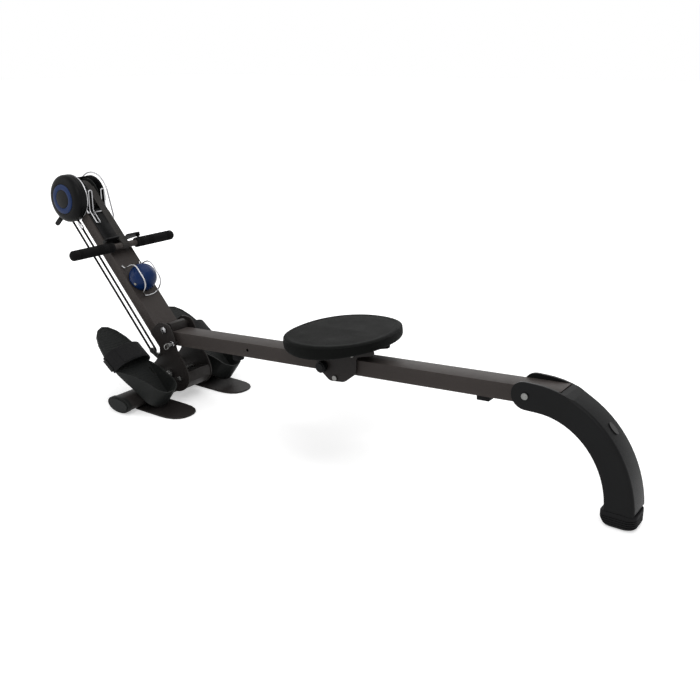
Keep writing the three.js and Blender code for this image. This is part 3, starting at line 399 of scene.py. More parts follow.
def webbing(name, colour):
    finish = Finish(name, Roughness=0.85, Specular_IOR_Level=0.12, Sheen_Weight=0.04, Sheen_Roughness=0.5)
    warp = (finish.axis("Y") * THREAD * WARP).wave()
    along = (finish.axis("X") * 0.62 + finish.axis("Z") * 0.78) * THREAD
    weave = warp * along.wave()
    dye = finish.noise(40.0, 5.0)
    # The weave's dips are painted darker and its crests paler: painted shade and painted highlight that follow the
    # bump.
    tone = finish.blend(weave * 0.35 + 0.5, toned(colour, 0.62), toned(colour, 1.3))
    tone = finish.blend((dye - 0.45).clamp(), tone, toned(colour, 1.6))
    finish.bump(weave, 0.5, 0.0005)
    return finish.done(tone)


black_webbing = webbing("black_webbing", (0.009, 0.009, 0.0095))
strap_webbing = webbing("strap_webbing", (0.034, 0.032, 0.03))
print("two webbings")

# %% [markdown]
# ## Seat vinyl
# The cover is black vinyl pressed with a leather grain: cells of different sizes with creases between
# them. Voronoi cells give the creases, which are also painted darker as painted shade, and a slow noise gives the
# soft dents of foam below.


# %% Vinyl
def vinyl(name, colour):
    finish = Finish(name, Specular_IOR_Level=0.035)
    drift = finish.noise(120.0, 3.0)
    cells = add_node(
        finish.tree, "TexVoronoi", {"feature": "DISTANCE_TO_EDGE"}, Vector=finish.place, Scale=620.0
    )
    crease = (cells * 6.0).clamp()
    slow = finish.noise(16.0, 2.0)
    # The grain's creases are painted darker here: painted shade where the bump dips.
    tone = finish.blend(crease, toned(colour, 0.5), colour)
    tone = finish.blend((slow - 0.5).clamp() * 0.8, tone, toned(colour, 1.7))
    finish.bump(crease * 0.6 + drift * 0.3, 0.35, 0.0006)
    return finish.done(tone, slow * 0.16 + 0.56)


seat_vinyl = vinyl("seat_vinyl", (0.0062, 0.0066, 0.0063))
print("vinyl")

# %% [markdown]
# ## Finishes for the CAD nodes
# Each node of the frame gets one of these finishes by name. Pieces made later in this script take theirs
# as they are made.

# %% Which finish each node takes
FINISH_OF_SLOT = {
    "frame_steel": frame_paint,
    "plate_steel": dark_paint,
    "chrome": chrome,
    "black_plastic": black_plastic,
    "grey_plastic": grey_plastic,
    "rubber": black_rubber,
    "webbing": black_webbing,
    "blue_plastic": blue_plastic,
    "vinyl": seat_vinyl,
    "valve": pale_plug,
}
FINISH_OF_NODE = {
    "carriage_bracket": dark_paint,
    "drum_cover": shell_plastic,
    "leg_badge": badge_plastic,
    "handle_bar": black_plastic,
    **dict.fromkeys(("tie_bolt", "low_bolt", "leg_bolt", "cord_bracket", "pedal_axle"), zinc),
    **dict.fromkeys(("strap_buckle_left", "strap_buckle_right"), black_plastic),
    **dict.fromkeys(("grip_left", "grip_right"), foam_grip),
    **dict.fromkeys(("pull_strap", "strap_coil", "strap_loop"), strap_webbing),
}


def finish_for(node):
    return FINISH_OF_NODE.get(node, FINISH_OF_SLOT[slot_of_node[node]])


for node, made in frame["nodes"].items():
    made.data.materials.clear()
    made.data.materials.append(finish_for(node))
print("finishes on", len(frame["nodes"]), "nodes")

# %% [markdown]
# ## Making pieces
# Every piece made here ends the same way: a mesh with smooth shading, a finish, a place on a CAD body,
# and the CAD node that it stands for. One helper does all of it.

# %% Helpers for new pieces
WIDE_FACE = 3e-5  # square metres
WELD = 1e-6


def piece(name, vertices, faces, finish, nodes=(), body=None, slot=None):
    """A mesh object that rides on the body of the nodes it stands for."""
    mesh = bpy.data.meshes.new(name)
    mesh.from_pydata([tuple(v) for v in vertices], [], faces)
    mesh.update()
    return settle(mesh, name, finish, nodes, body)


def rim_large_faces(mesh):
    """Marks the edges round wide, many-sided faces as sharp, so that flat ground is shaded flat."""
    wide = {p.index for p in mesh.polygons if len(p.vertices) > 4 and p.area > WIDE_FACE}
    rim = {edge for index in wide for edge in mesh.polygons[index].edge_keys}
    flags = [e.use_edge_sharp or e.key in rim for e in mesh.edges]
    mesh.edges.foreach_set("use_edge_sharp", flags)


def settle(mesh, name, finish, nodes=(), body=None, sharp=35.0):
    """Welds and shades a mesh, and puts it in the scene with its finish, body and nodes."""
    work = bmesh.new()
    work.from_mesh(mesh)
    bmesh.ops.remove_doubles(work, verts=work.verts, dist=WELD)
    bmesh.ops.recalc_face_normals(work, faces=work.faces)
    work.to_mesh(mesh)
    work.free()
    mesh.polygons.foreach_set("use_smooth", [True] * len(mesh.polygons))
    mesh.set_sharp_from_angle(angle=math.radians(sharp))
    rim_large_faces(mesh)
    mesh.materials.clear()
    mesh.materials.append(finish)
    made = bpy.data.objects.new(name, mesh)
    bpy.context.scene.collection.objects.link(made)
    if nodes:
        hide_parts(*nodes)
    if body != "blended":
        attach(made, body or body_of_node[nodes[0]])
    return made


print("piece helpers ready")

# %% [markdown]
# ## A leaning set of axes
# The mast, the rail and the footplates each lean at their own angle. A small class holds an origin and
# two directions, so that a piece can be drawn square and set down leaning. Its places come from the
# joints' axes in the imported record.


# %% Leaning axes
class Axes:
    """An origin with its own X and Z directions, and the machine's Y."""

    def __init__(self, origin, x):
        self.x = Vector(x).normalized()
        self.y = Vector((0, 1, 0))
        self.z = self.x.cross(self.y)
        self.origin = Vector(origin)

    def at(self, x, y, z):
        """A point given in millimetres of these axes, in metres of the machine."""
        return self.origin + (self.x * x + self.y * y + self.z * z) * MM

    def around(self, radius, angle, y=0):
        """A point at a radius and an angle about the Y axis."""
        return self.at(radius * math.cos(angle), y, radius * math.sin(angle))

    def moved(self, x, y, z):
        """The same axes at another origin."""
        return Axes(self.at(x, y, z), self.x)


REEL_T = 304  # up the mast, from its foot
REEL_H = -17.5  # out of the mast's face, so inside it
reel_at = Vector(joints["reel_spin"]["pos_m"])
mast = Axes(reel_at, joints["resistance_turn"]["axis"]).moved(-REEL_H, 0, -REEL_T)

PIVOT_X = 137.1  # along the rail
PIVOT_Z = 8.7  # above its top
SEAT_REST = 749  # along the rail, where the seat stands at rest
rail = Axes(joints["rail_fold"]["pos_m"], joints["seat_travel"]["axis"]).moved(-PIVOT_X, 0, -PIVOT_Z)
seat = rail.moved(SEAT_REST, 0, 0)

PEDAL_TILT = math.radians(37)
AXLE_U = 25  # along the sole from its middle
AXLE_N = -24  # above the sole, so under it
pedals = {
    side: Axes(joints[f"pedal_{side}_tilt"]["pos_m"], (math.cos(PEDAL_TILT), 0, -math.sin(PEDAL_TILT))).moved(
        -AXLE_U, 0, -AXLE_N
    )
    for side in ("left", "right")
}
print("mast foot at", [round(v, 4) for v in mast.origin])

# %% [markdown]
# ## Turned and swept shapes
# Round parts are a profile turned about an axis, and wires and straps are a section swept along a line.
# Blender has modifiers for both, but a grid of points puts each one where it is wanted, and one function
# joins the points of every grid with faces.


# %% Skin and lathe
def round_angles(count):
    """The angles of a whole turn in even steps."""
    return [2 * math.pi * k / count for k in range(count)]


def sweep(start, stop, steps):
    """Angles in even steps from one to another, which are given in degrees."""
    return [math.radians(start + (stop - start) * k / steps) for k in range(steps + 1)]


def skin(rows, columns, ring=False, open_rows=False):
    """Faces of a grid of points, whose rows are closed or open, in a ring or from end to end."""
    faces = []
    for j in range(rows if ring else rows - 1):
        a, b = j * columns, (j + 1) % rows * columns
        for i in range(columns - 1 if open_rows else columns):
            n = (i + 1) % columns
            faces.append((a + i, a + n, b + n, b + i))
    return faces


def capped(rows, columns):
    """The faces of a skin from end to end, and a flat face at each end."""
    ends = [tuple(range(columns))[::-1], tuple(range((rows - 1) * columns, rows * columns))]
    return skin(rows, columns) + ends


def lathe(axes, profile, sides=96):
    """Vertices and faces of a profile of (radius, y) turned about the Y axis of the axes."""
    vertices = [axes.around(r, a, y) for a in round_angles(sides) for r, y in profile]
    return vertices, skin(sides, len(profile), ring=True, open_rows=True)


print("lathe ready")


# %% Lines and tubes
PARALLEL = 0.999  # the cosine past which a line runs along its own side direction


def eased(points, radius, steps=6):
    """The points of a line with its inner corners rounded to a radius."""
    points = [Vector(p) for p in points]
    line = [points[0]]
    for before, corner, after in zip(points, points[1:], points[2:]):
        reach = min(radius, *((end - corner).length * 0.49 for end in (before, after)))
        start = corner + (before - corner).normalized() * reach
        end = corner + (after - corner).normalized() * reach
        for k in range(steps + 1):
            t = k / steps
            line.append(start * (1 - t) ** 2 + corner * 2 * t * (1 - t) + end * t**2)
    line.append(points[-1])
    return line


def tube(line, radius, sides=14, closed=False):
    """Vertices and faces of a round rod along a line of points, with closed or flat ends."""
    vertices = []
    count = len(line)
    side = Vector((0, 1, 0))
    for i, point in enumerate(line):
        before = line[i - 1] if i or closed else point
        after = line[(i + 1) % count] if i < count - 1 or closed else point
        ahead = (after - before).normalized()
        lean = side.dot(ahead)
        side = (side - ahead * lean).normalized() if abs(lean) < PARALLEL else ahead.orthogonal()
        up = ahead.cross(side)
        for angle in round_angles(sides):
            vertices.append(point + (side * math.cos(angle) + up * math.sin(angle)) * radius)
    return vertices, skin(count, sides, ring=True) if closed else capped(count, sides)


def together(*shapes):
    """Several lists of vertices and faces as one."""
    vertices, faces = [], []
    for more, sides in shapes:
        faces += [tuple(i + len(vertices) for i in face) for face in sides]
        vertices += more
    return vertices, faces


print("tube ready")

# %% [markdown]
# ## Softened steel and plastic
# No real edge is a knife edge: tube corners are rolled, plate is deburred and mouldings have a radius,
# and that small round catches the light. Each hard CAD piece is remade with its flat faces merged and
# its edges bevelled, by a width that suits how it is made. A bevel by angle finds the edges itself.

# %% Widths of the rounded edges
EDGE = {
    "mast": 1.6, "rail": 1.6, "stabiliser_cap_left": 2.6, "stabiliser_cap_right": 2.6, "head_frame": 1.2,
    "handle_bracket": 1.4, "footplate_left": 1.3, "footplate_right": 1.3, "carriage_bracket": 0.8,
    "floor_plate_left": 1.2, "floor_plate_right": 1.2, "side_plate_left": 0.9, "side_plate_right": 0.9,
    "tie_bolt": 1.0, "pivot_bolt": 1.0, "rail_stop_front": 2.0, "rail_stop_rear": 2.0, "seat_board": 1.6,
    "seat_knob": 1.2, "stabiliser_tube": 0.6,
}
SMALL_EDGE = 0.5
SOFTENED = [
    "low_bolt", "leg_bolt", "pin_barrel", "pedal_axle", "base_web", "rail_hinge", "cord_bracket",
    "cord_ferrule", "upper_roller_front", "upper_roller_rear", "lower_roller", "strap_buckle_left",
    "strap_buckle_right", "cord_pulley", "strap_reel", "cord_spool", "leg_badge", "ball_valve", *EDGE,
]
print(len(EDGE), "widths, and", SMALL_EDGE, "mm for the rest")

# %% Remake the hard pieces with rounded edges
FLAT = math.radians(1.5)
BEVEL_FROM = math.radians(33)
ROLLERS = ("upper_roller_front", "upper_roller_rear", "lower_roller")
AXLE_SHOWS_FROM = 27.5 * MM  # the rollers end here, and their steel axles go on


def merged(node, chosen=None):
    """An object with the node's shape, its flat faces merged, and a bevel weight on chosen edges."""
    mesh = frame["nodes"][node].data.copy()
    work = bmesh.new()
    work.from_mesh(mesh)
    bmesh.ops.remove_doubles(work, verts=work.verts, dist=2 * WELD)
    bmesh.ops.dissolve_limit(work, angle_limit=FLAT, verts=work.verts, edges=work.edges)
    if chosen:
        weights = work.edges.layers.float.new("bevel_weight_edge")
        for edge in work.edges:
            edge[weights] = float(chosen(edge))
    work.to_mesh(mesh)
    work.free()
    made = bpy.data.objects.new("carrier", mesh)
    bpy.context.scene.collection.objects.link(made)
    return made


def add_bevel(carrier, width, **settings):
    """Rounds the carrier's edges: those past an angle, unless the settings say otherwise."""
    bevel = carrier.modifiers.new("edges", "BEVEL")
    given = {"width": width, "segments": 3, "limit_method": "ANGLE", "angle_limit": BEVEL_FROM, **settings}
    for key, value in given.items():
        setattr(bevel, key, value)


def baked(source, name):
    """A plain mesh of an object with its modifiers applied. The object is removed."""
    bpy.context.view_layer.update()
    now = source.evaluated_get(bpy.context.evaluated_depsgraph_get())
    mesh = bpy.data.meshes.new_from_object(now)
    mesh.name = name
    bpy.data.objects.remove(source)
    return mesh


for node in SOFTENED:
    name = node + "_made"
    carrier = merged(node)
    add_bevel(carrier, EDGE.get(node, SMALL_EDGE) * MM, miter_outer="MITER_ARC")
    made = settle(baked(carrier, name), name, finish_for(node), (node,), sharp=40.0)
    if node in ROLLERS:
        made.data.materials.append(zinc)
        for face in made.data.polygons:
            face.material_index = int(abs(face.center.y) > AXLE_SHOWS_FROM)
print("softened", len(SOFTENED), "pieces")

# %% [markdown]
# ## Rear leg
# The leg is one hollow moulding. The two long edges of its back are rounded far more than the rest, so
# that they don't bruise a shin, up to where the leg opens round the rail. One bevel takes only those
# two edges, by a weight on each, and a second, small one takes every edge that is still sharp.

# %% Rear leg
leg_axes = Axes(joints["leg_fold"]["pos_m"], (1, 0, 0))
LEG_BOLT_Z = leg_axes.origin.z / MM
ARC_X, ARC_Z = 20, 20 - LEG_BOLT_Z  # the middle of the back's oval
ARC_REACH, ARC_RISE = 241, 268
ON_ARC = 0.985  # a point this near the oval, or past it, is on the back
LEG_HALF = 37.6
BACK_ROUND = 8 * MM
LEG_SMALL = 1.3 * MM
ROUND_FROM_X = 95  # where the leg closes behind the rail's end


def is_on_back(edge):
    """Whether an edge is one of the two long edges of the leg's back."""
    for v in edge.verts:
        local = (v.co - leg_axes.origin) / MM
        reach = ((local.x - ARC_X) / ARC_REACH) ** 2 + ((local.z - ARC_Z) / ARC_RISE) ** 2
        if reach < ON_ARC or abs(local.y) < LEG_HALF - 0.5 or local.x < ROUND_FROM_X:
            return False
    return edge.calc_face_angle(0) > BEVEL_FROM


leg = merged("rear_leg", chosen=is_on_back)
add_bevel(leg, BACK_ROUND, segments=6, limit_method="WEIGHT", use_clamp_overlap=False)
add_bevel(leg, LEG_SMALL)
settle(baked(leg, "leg_shell"), "leg_shell", black_plastic, ("rear_leg",), sharp=32.0)
print("rear leg, back rounded by", round(BACK_ROUND / MM, 1), "mm")

# %% [markdown]
# ## Rear foot
# The foot is a rubber boot pushed over the leg's end, with grooves that let it flex and hold the floor.
# Grooves cut with a boolean leave poor edges, so the boot is a stack of rounded outlines, one for each
# height, and a groove is a few outlines drawn in.

# %% Rear foot
foot_low, foot_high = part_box("rear_foot")
FRONT_LIP = 5  # the toe reaches this far past the CAD's box, before the lowest outlines draw it in
FOOT_FRONT = (foot_low.x - leg_axes.origin.x) / MM - FRONT_LIP
FOOT_BACK = (foot_high.x - leg_axes.origin.x) / MM
FOOT_HALF = foot_high.y / MM
FOOT_HEIGHT = foot_high.z / MM
FRONT_CORNER = 9
BACK_CORNER = 21
CORNER_STEPS = 8
TOE_ROUND, TOE_HEIGHT = 14, 22  # how far the toe is drawn in at the floor, and up to what height
GROOVE = 1.7


def foot_levels():
    """Heights from the floor up, with how far the side is drawn in at each."""
    levels = [(0, 18), (0.35, 13.5), (1.3, 9), (2.8, 5.4), (4.8, 2.8), (7.2, 1), (9.6, 0.2)]
    for low in (10.5, 15.5, 20.5, 25.5):
        levels += [(low, 0), (low + 0.6, GROOVE), (low + 1.9, GROOVE), (low + 2.5, 0)]
    return levels + [(FOOT_HEIGHT - 1.2, 0), (FOOT_HEIGHT - 0.3, 0.4), (FOOT_HEIGHT, 1.2)]


def foot_shape():
    vertices = []
    levels = foot_levels()
    for z, inset in levels:
        toe_in = TOE_ROUND * max(0.0, 1 - z / TOE_HEIGHT) ** 1.2
        x0, x1 = FOOT_FRONT + inset * 0.5 + toe_in, FOOT_BACK - inset
        y1 = FOOT_HALF - inset
        for cx, cy, start in ((x1, y1, 0), (x0, y1, 90), (x0, -y1, 180), (x1, -y1, 270)):
            r = (BACK_CORNER if cx == x1 else FRONT_CORNER) + inset * 0.3
            mx = cx - r if cx == x1 else cx + r
            my = cy - r if cy > 0 else cy + r
            for a in sweep(start, start + 90, CORNER_STEPS):
                vertices.append(leg_axes.at(mx + r * math.cos(a), my + r * math.sin(a), z - LEG_BOLT_Z))
    return vertices, capped(len(levels), 4 * (CORNER_STEPS + 1))


piece("foot_boot", *foot_shape(), black_rubber, ("rear_foot",))
print("foot", round(FOOT_BACK - FOOT_FRONT), "mm long")

# %% [markdown]
# ## The drum
# The drum on the rower's left covers the cord's spool. It is a moulded bowl with a rolled shoulder, a
# blue ring let into its face, and a plain cap in the middle. A profile turned about its axis gives the
# whole bowl, with enough points on the shoulder for it to roll smoothly.

# %% Drum cover, ring and hub
drum_axes = mast.moved(REEL_H, 0, REEL_T)
DRUM_RADIUS = 71
DRUM_FRONT = -76
DRUM_BACK = -43.3
FACE_RADIUS = 46
SHOULDER_DEPTH = 17
WALL = 2.5


def shoulder(radius, front, steps=14):
    """A quarter of an oval from the face's rim to the drum's side."""
    return [
        (FACE_RADIUS + (radius - FACE_RADIUS) * math.sin(a), front + SHOULDER_DEPTH * (1 - math.cos(a)))
        for a in sweep(0, 90, steps)
    ]


outside = shoulder(DRUM_RADIUS, DRUM_FRONT)
inside = shoulder(DRUM_RADIUS - WALL, DRUM_FRONT + WALL)
cover_profile = (
    [(0.5, DRUM_FRONT), (26, DRUM_FRONT), (44.6, DRUM_FRONT), (45.2, DRUM_FRONT + 0.6)]
    + outside
    + [(DRUM_RADIUS, -56), (DRUM_RADIUS - 0.7, -55.4), (DRUM_RADIUS - 0.7, -54.4), (DRUM_RADIUS, -53.8)]
    + [(DRUM_RADIUS, DRUM_BACK - 0.6), (DRUM_RADIUS - 0.6, DRUM_BACK), (DRUM_RADIUS - WALL, DRUM_BACK)]
    + inside[::-1]
    + [(0.5, DRUM_FRONT + WALL)]
)
piece("drum_shell", *lathe(drum_axes, cover_profile), shell_plastic, ("drum_cover",))
RING_BACK = DRUM_FRONT - 0.1
ring_rises = [(28, 0), (28, 1.4), (28.8, 2.3), (31, 2.7), (41, 2.2), (43.3, 1.4), (44, 0), (28, 0)]
ring_profile = [(radius, RING_BACK - rise) for radius, rise in ring_rises]
piece("drum_blue_ring", *lathe(drum_axes, ring_profile), blue_plastic, ("drum_ring",))
hub_profile = [
    (27.6, RING_BACK), (27.6, -77.6), (27, -78.4), (24, -79.2), (16, -79.9), (8, -80.6), (0.01, -80.9),
]
piece("drum_hub", *lathe(drum_axes, hub_profile), black_plastic, ("drum_hub_cap",))
print("drum", 2 * DRUM_RADIUS, "mm across")

# %% [markdown]
# ## Resistance knob
# A knob on a stem behind the drum sets how hard the machine pulls. Fingers turn it, so it is fluted.
# Flutes could be cut one by one, but a wave in the radius as the profile turns makes all of them.

# %% Resistance knob
KNOB_PLACE = (REEL_H - 43.4, -52, 287)
knob_axes = mast.moved(*KNOB_PLACE)
KNOB_FLUTES = 18
FLUTE_DEPTH = 0.7
STEM_RADIUS = 6  # a profile point farther out than this is on the fluted part
KNOB_PROFILE = [
    (0.01, 0), (4, 0), (4, 34), (6.6, 34), (7.5, 35), (7.5, 64), (6.8, 67), (5, 69), (2.5, 70), (0.01, 70),
]


def knob_shape():
    """A fluted knob on a plain stem, turned about the mast's own normal."""
    sides = KNOB_FLUTES * 4
    vertices = []
    for angle in round_angles(sides):
        flute = 0.5 * (1 - math.cos(KNOB_FLUTES * angle)) * FLUTE_DEPTH
        for radius, out in KNOB_PROFILE:
            r = radius - (flute if radius > STEM_RADIUS else 0)
            vertices.append(knob_axes.at(-out, r * math.cos(angle), r * math.sin(angle)))
    return vertices, skin(sides, len(KNOB_PROFILE), ring=True, open_rows=True)


piece("resistance_dial", *knob_shape(), black_plastic, ("tension_knob",))
print("knob with", KNOB_FLUTES, "flutes")

# %% [markdown]
# ## Wire rack
# The rack at the head is bent from round chromed wire: a hoop on each side, and two long loops beside
# the strap. A line of points with rounded corners is swept with a circle, which is how a wire bender
# works: straight, bend, straight.

# %% Wire rack
WIRE = 2.5 * MM
FINE_WIRE = 2.0 * MM
HOOP = 68
HOOP_Y = 39.3
ON_MAST = 5.4  # the wire's middle above the mast's face
RUNG_T = 222


def hanging_loop(y0, y1):
    """One long closed loop that stands off the mast's face, with a rung near its foot."""
    foot, knee, top = (ON_MAST, 192), (ON_MAST, 236), (46, 281)
    corners = [mast.at(h, y0, t) for h, t in (foot, knee, top)]
    corners += [mast.at(h, y1, t) for h, t in (top, knee, foot)]
    start = (corners[0] + corners[-1]) / 2
    line = eased([start, *corners, start], 6 * MM)[:-1]
    rung = [mast.at(ON_MAST, y0, RUNG_T), mast.at(ON_MAST, y1, RUNG_T)]
    return together(tube(line, FINE_WIRE, closed=True), tube(rung, FINE_WIRE))


def hoop_point(angle, y):
    return drum_axes.around(HOOP, angle, y)


near_hoop = [hoop_point(angle, -HOOP_Y) for angle in round_angles(96)]
far_arc = [hoop_point(angle, HOOP_Y) for angle in sweep(270, -25, 80)]  # the far hoop is open
far_leg = eased([*far_arc[-2:], mast.at(ON_MAST, HOOP_Y, 198), mast.at(ON_MAST, 24, 198)], 8 * MM)
tail_corners = [mast.at(ON_MAST, y, 229) for y in (-HOOP_Y, 26)]
tail = eased([hoop_point(math.radians(-70), -HOOP_Y), *tail_corners], 4 * MM)
rack = together(
    tube(near_hoop, WIRE, closed=True),
    tube(far_arc + far_leg[1:], WIRE),
    tube([hoop_point(math.radians(96), y) for y in (-HOOP_Y, HOOP_Y)], WIRE),
    tube(tail, WIRE),
    hanging_loop(-29.5, -17),
    hanging_loop(17, 29.5),
)
piece("chrome_rack", *rack, chrome, ("wire_rack",))
print("rack of", round(2 * WIRE / MM, 1), "mm wire")

# %% [markdown]
# ## Ball cradle
# One length of the same wire holds the ball on the mast: out, along and back on one side, across the
# foot, and up again on the other. Its bends are wide, so each corner of the line has a large radius.

# %% Ball cradle
CRADLE_Y = 29.6
CRADLE_BEND = 25 * MM
CRADLE_FOOT, CRADLE_OUT = 2.3, 50.4  # above the mast's face
cradle_half = [  # height above the face, half width, and place up the mast
    (CRADLE_FOOT, 34, 37), (CRADLE_FOOT, CRADLE_Y - 2, 26), (CRADLE_OUT, CRADLE_Y, 15),
    (CRADLE_OUT, CRADLE_Y, -60), (CRADLE_FOOT, CRADLE_Y, -76),
]
corners = [mast.at(h, -y, t) for h, y, t in cradle_half] + [mast.at(*place) for place in cradle_half[::-1]]
cradle_line = eased(corners, CRADLE_BEND, 10)
piece("chrome_cradle", *tube(cradle_line, FINE_WIRE), chrome, ("ball_cradle",))
print("cradle of", len(cradle_line), "stations")

# %% [markdown]
# ## The ball
# A moulded ball with a shallow seam round its middle, a finer line above and below it, and a plug where
# it was filled. A sphere of even quads, made from a cube whose points are pushed out to the radius,
# shades without a pinch at the poles, and the seams are drawn in as it is made.

# %% Ball
BALL_RADIUS = 41
SEAMS = ((0, 0.5, 0.9), (0.45, 0.3, 0.7), (0.8, 0.3, 0.7))  # height as a share, depth and width
BALL_PLACE = (18.3, 0, -22)
ball_axes = mast.moved(*BALL_PLACE)


def ball_shape():
    work = bmesh.new()
    bmesh.ops.create_cube(work, size=2)
    bmesh.ops.subdivide_edges(work, edges=work.edges[:], cuts=23, use_grid_fill=True)
    vertices = []
    for v in work.verts:
        out = v.co.normalized()
        seam = 0
        for level, depth, width in SEAMS:
            seam += depth * math.exp(-(((abs(out.z) - level) * BALL_RADIUS / width) ** 2))
        vertices.append(ball_axes.at(*(out * (BALL_RADIUS - seam))))
    faces = [tuple(v.index for v in f.verts) for f in work.faces]
    work.free()
    return vertices, faces


piece("blue_ball", *ball_shape(), blue_plastic, ("ball",))
print("ball", 2 * BALL_RADIUS, "mm across")

# %% [markdown]
# ## Handle
# The grips are foam over a steel tube. Each has a plain palm stretch between rings of moulded ribs, and
# a domed end. They are round, so a turned profile holds every rib, and the bar between them is a tube.

# %% Grips and bar
HANDLE_H = 23
HANDLE_T = 92
GRIP_RADIUS = 15
GRIP_START = 44
GRIP_END = 195
DOME = 11
RIB_STARTS = [52, 56, 60, 64, 84, 88, 92, 96, 100, 104, 160, 164, 168]
RIB = [(15, 0), (14.2, 0.5), (13.9, 1.2), (13.9, 1.8), (14.2, 2.5), (15, 3)]  # one dip between two ribs
BAR_OUTER, BAR_INNER, BAR_HALF = 9.5, 8, 173
handle_axes = mast.moved(HANDLE_H, 0, HANDLE_T)


def grip_profile():
    outside = [(9.9, GRIP_START), (13.4, GRIP_START), (14.6, GRIP_START + 0.6), (GRIP_RADIUS, GRIP_START + 2)]
    outside += [(radius, start + y) for start in RIB_STARTS for radius, y in RIB]
    outside += [
        (GRIP_RADIUS * math.cos(a), GRIP_END - DOME + DOME * math.sin(a)) for a in sweep(0, 90, 10)[:-1]
    ]
    return outside + [(0.01, GRIP_END)]


for side, sign in (("left", -1), ("right", 1)):
    profile = [(r, sign * y) for r, y in grip_profile()]
    piece("foam_grip_" + side, *lathe(handle_axes, profile, 64), foam_grip, ("grip_" + side,))
bar = [(BAR_INNER, -BAR_HALF), (BAR_OUTER, -BAR_HALF), (BAR_OUTER, BAR_HALF), (BAR_INNER, BAR_HALF)]
piece("handle_tube", *lathe(handle_axes, bar + bar[:1], 48), frame_paint, ("handle_bar",))
print("grips", GRIP_END - GRIP_START, "mm long")

# %% [markdown]
# ## Webbing straps
# A strap is a flat band with a little thickness, soft long edges and a doubled, stitched end. A plane
# with a solid modifier would have knife edges, so one function sweeps a rounded section along a line.
# It makes the pull strap, its coil, its loop and the foot straps, and another lays rows of stitches.

# %% Band along a line
EDGE_SOFTNESS = 0.9 * MM


def band(line, width, thickness, out, across=Vector((0, 1, 0)), columns=8):
    """A flat band. `line` is its inner face's middle line; `out(i)` is its outward direction there."""
    half = width / 2
    soft = min(thickness * 0.45, EDGE_SOFTNESS)
    places = [-half + soft + (width - 2 * soft) * k / columns for k in range(columns + 1)]
    section = [(y, 0.0) for y in places] + [(half, soft), (half, thickness - soft)]
    section += [(y, thickness) for y in places[::-1]] + [(-half, thickness - soft), (-half, soft)]
    vertices = [point + across * y + out(i) * lift for i, point in enumerate(line) for y, lift in section]
    return vertices, capped(len(line), len(section))


def stitches(line, outward, offset_y, lift, length=2.6 * MM, gap=1.5 * MM, radius=0.32 * MM):
    """A row of short thread stitches that follows a straight line, at one offset across it."""
    shapes = []
    raised = outward * lift + Vector((0, offset_y, 0))
    walked, next_start = 0.0, 0.0
    for a, b in zip(line, line[1:]):
        step = (b - a).length
        while next_start + length <= walked + step:
            t0, t1 = (next_start - walked) / step, (next_start + length - walked) / step
            if t0 >= 0:
                shapes.append(tube([a.lerp(b, t0) + raised, a.lerp(b, t1) + raised], radius, 6))
            next_start += length + gap
        walked += step
    return shapes


print("band and stitches ready")

# %% [markdown]
# ## Pull strap
# The strap comes off its reel and goes straight down to the handle. It is taut, so it is straight, and
# each point's even share of its length from the reel is worked out.

# %% Pull strap
STRAP_WIDTH = 25 * MM
STRAP_THICK = 1.6 * MM
COIL_RADIUS = 47.6
strap_h = REEL_H + COIL_RADIUS + 0.3
STRAP_END_T = HANDLE_T + 18
PULL_ROWS = 60
strap_top, strap_end = mast.at(strap_h, 0, REEL_T), mast.at(strap_h, 0, STRAP_END_T)
strap_line = [strap_top.lerp(strap_end, k / PULL_ROWS) for k in range(PULL_ROWS + 1)]
pull = piece(
    "pull_webbing",
    *band(strap_line, STRAP_WIDTH, STRAP_THICK, lambda i: mast.x),
    strap_webbing,
    ("pull_strap",),
    body="blended",
)
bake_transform(pull)
run = strap_line[-1] - strap_line[0]
even = [(v.co - strap_line[0]).dot(run) / run.length_squared for v in pull.data.vertices]
print("strap", round(run.length / MM), "mm long at rest")

# %% [markdown]
# ## Wound strap
# The rest of the strap is wound on the reel inside the head, where its edge shows between the hoops. A
# plain disc would look solid, so the band follows a spiral, one turn on the next.

# %% Wound strap
CORE_RADIUS = 18.3
TURNS = 14
TURN_STEPS = 40
GROWTH = (COIL_RADIUS - CORE_RADIUS - STRAP_THICK / MM) / (TURNS * TURN_STEPS)
wound_line = [
    drum_axes.around(CORE_RADIUS + GROWTH * k, angle)
    for k, angle in enumerate(sweep(0, 360 * TURNS, TURNS * TURN_STEPS))
]
wound_out = [(p - drum_axes.origin).normalized() for p in wound_line]
piece(
    "wound_webbing",
    *band(wound_line, STRAP_WIDTH, STRAP_THICK, lambda i: wound_out[i], columns=2),
    strap_webbing,
    ("strap_coil",),
)
print("strap coil of", TURNS, "turns")

# %% [markdown]
# ## Handle loop
# The strap's end goes round the middle of the bar and is sewn to itself. It is three short bands: the
# turn round the bar and the two tails, with rows of stitches along the outer tail.

# %% Handle loop
LOOP_RADIUS = 9.8
LOOP_FROM, LOOP_SWEEP = 12, 324  # degrees
TAIL_RISE, TAIL_RUN = strap_h - HANDLE_H - LOOP_RADIUS, 17.6
loop_line = [handle_axes.around(LOOP_RADIUS, a) for a in sweep(LOOP_FROM, LOOP_FROM - LOOP_SWEEP, 32)]
loop_out = [(p - handle_axes.origin).normalized() for p in loop_line]
tail_line = [mast.at(strap_h - 1.7 - 0.7 * k / 8, 0, STRAP_END_T - 18 * k / 8) for k in range(6)]
front_tail = [handle_axes.at(LOOP_RADIUS - 0.2 + TAIL_RISE * k / 8, 0, TAIL_RUN * k / 8) for k in range(9)]
loop_shapes = [
    band(loop_line, STRAP_WIDTH, STRAP_THICK, lambda i: loop_out[i]),
    band(front_tail, STRAP_WIDTH, STRAP_THICK, lambda i: mast.x),
    band(tail_line, STRAP_WIDTH, STRAP_THICK, lambda i: mast.x),
]
for y in (-9 * MM, 9 * MM):
    loop_shapes += stitches(front_tail[1:], mast.x, y, STRAP_THICK)
piece("handle_loop", *together(*loop_shapes), strap_webbing, ("strap_loop",))
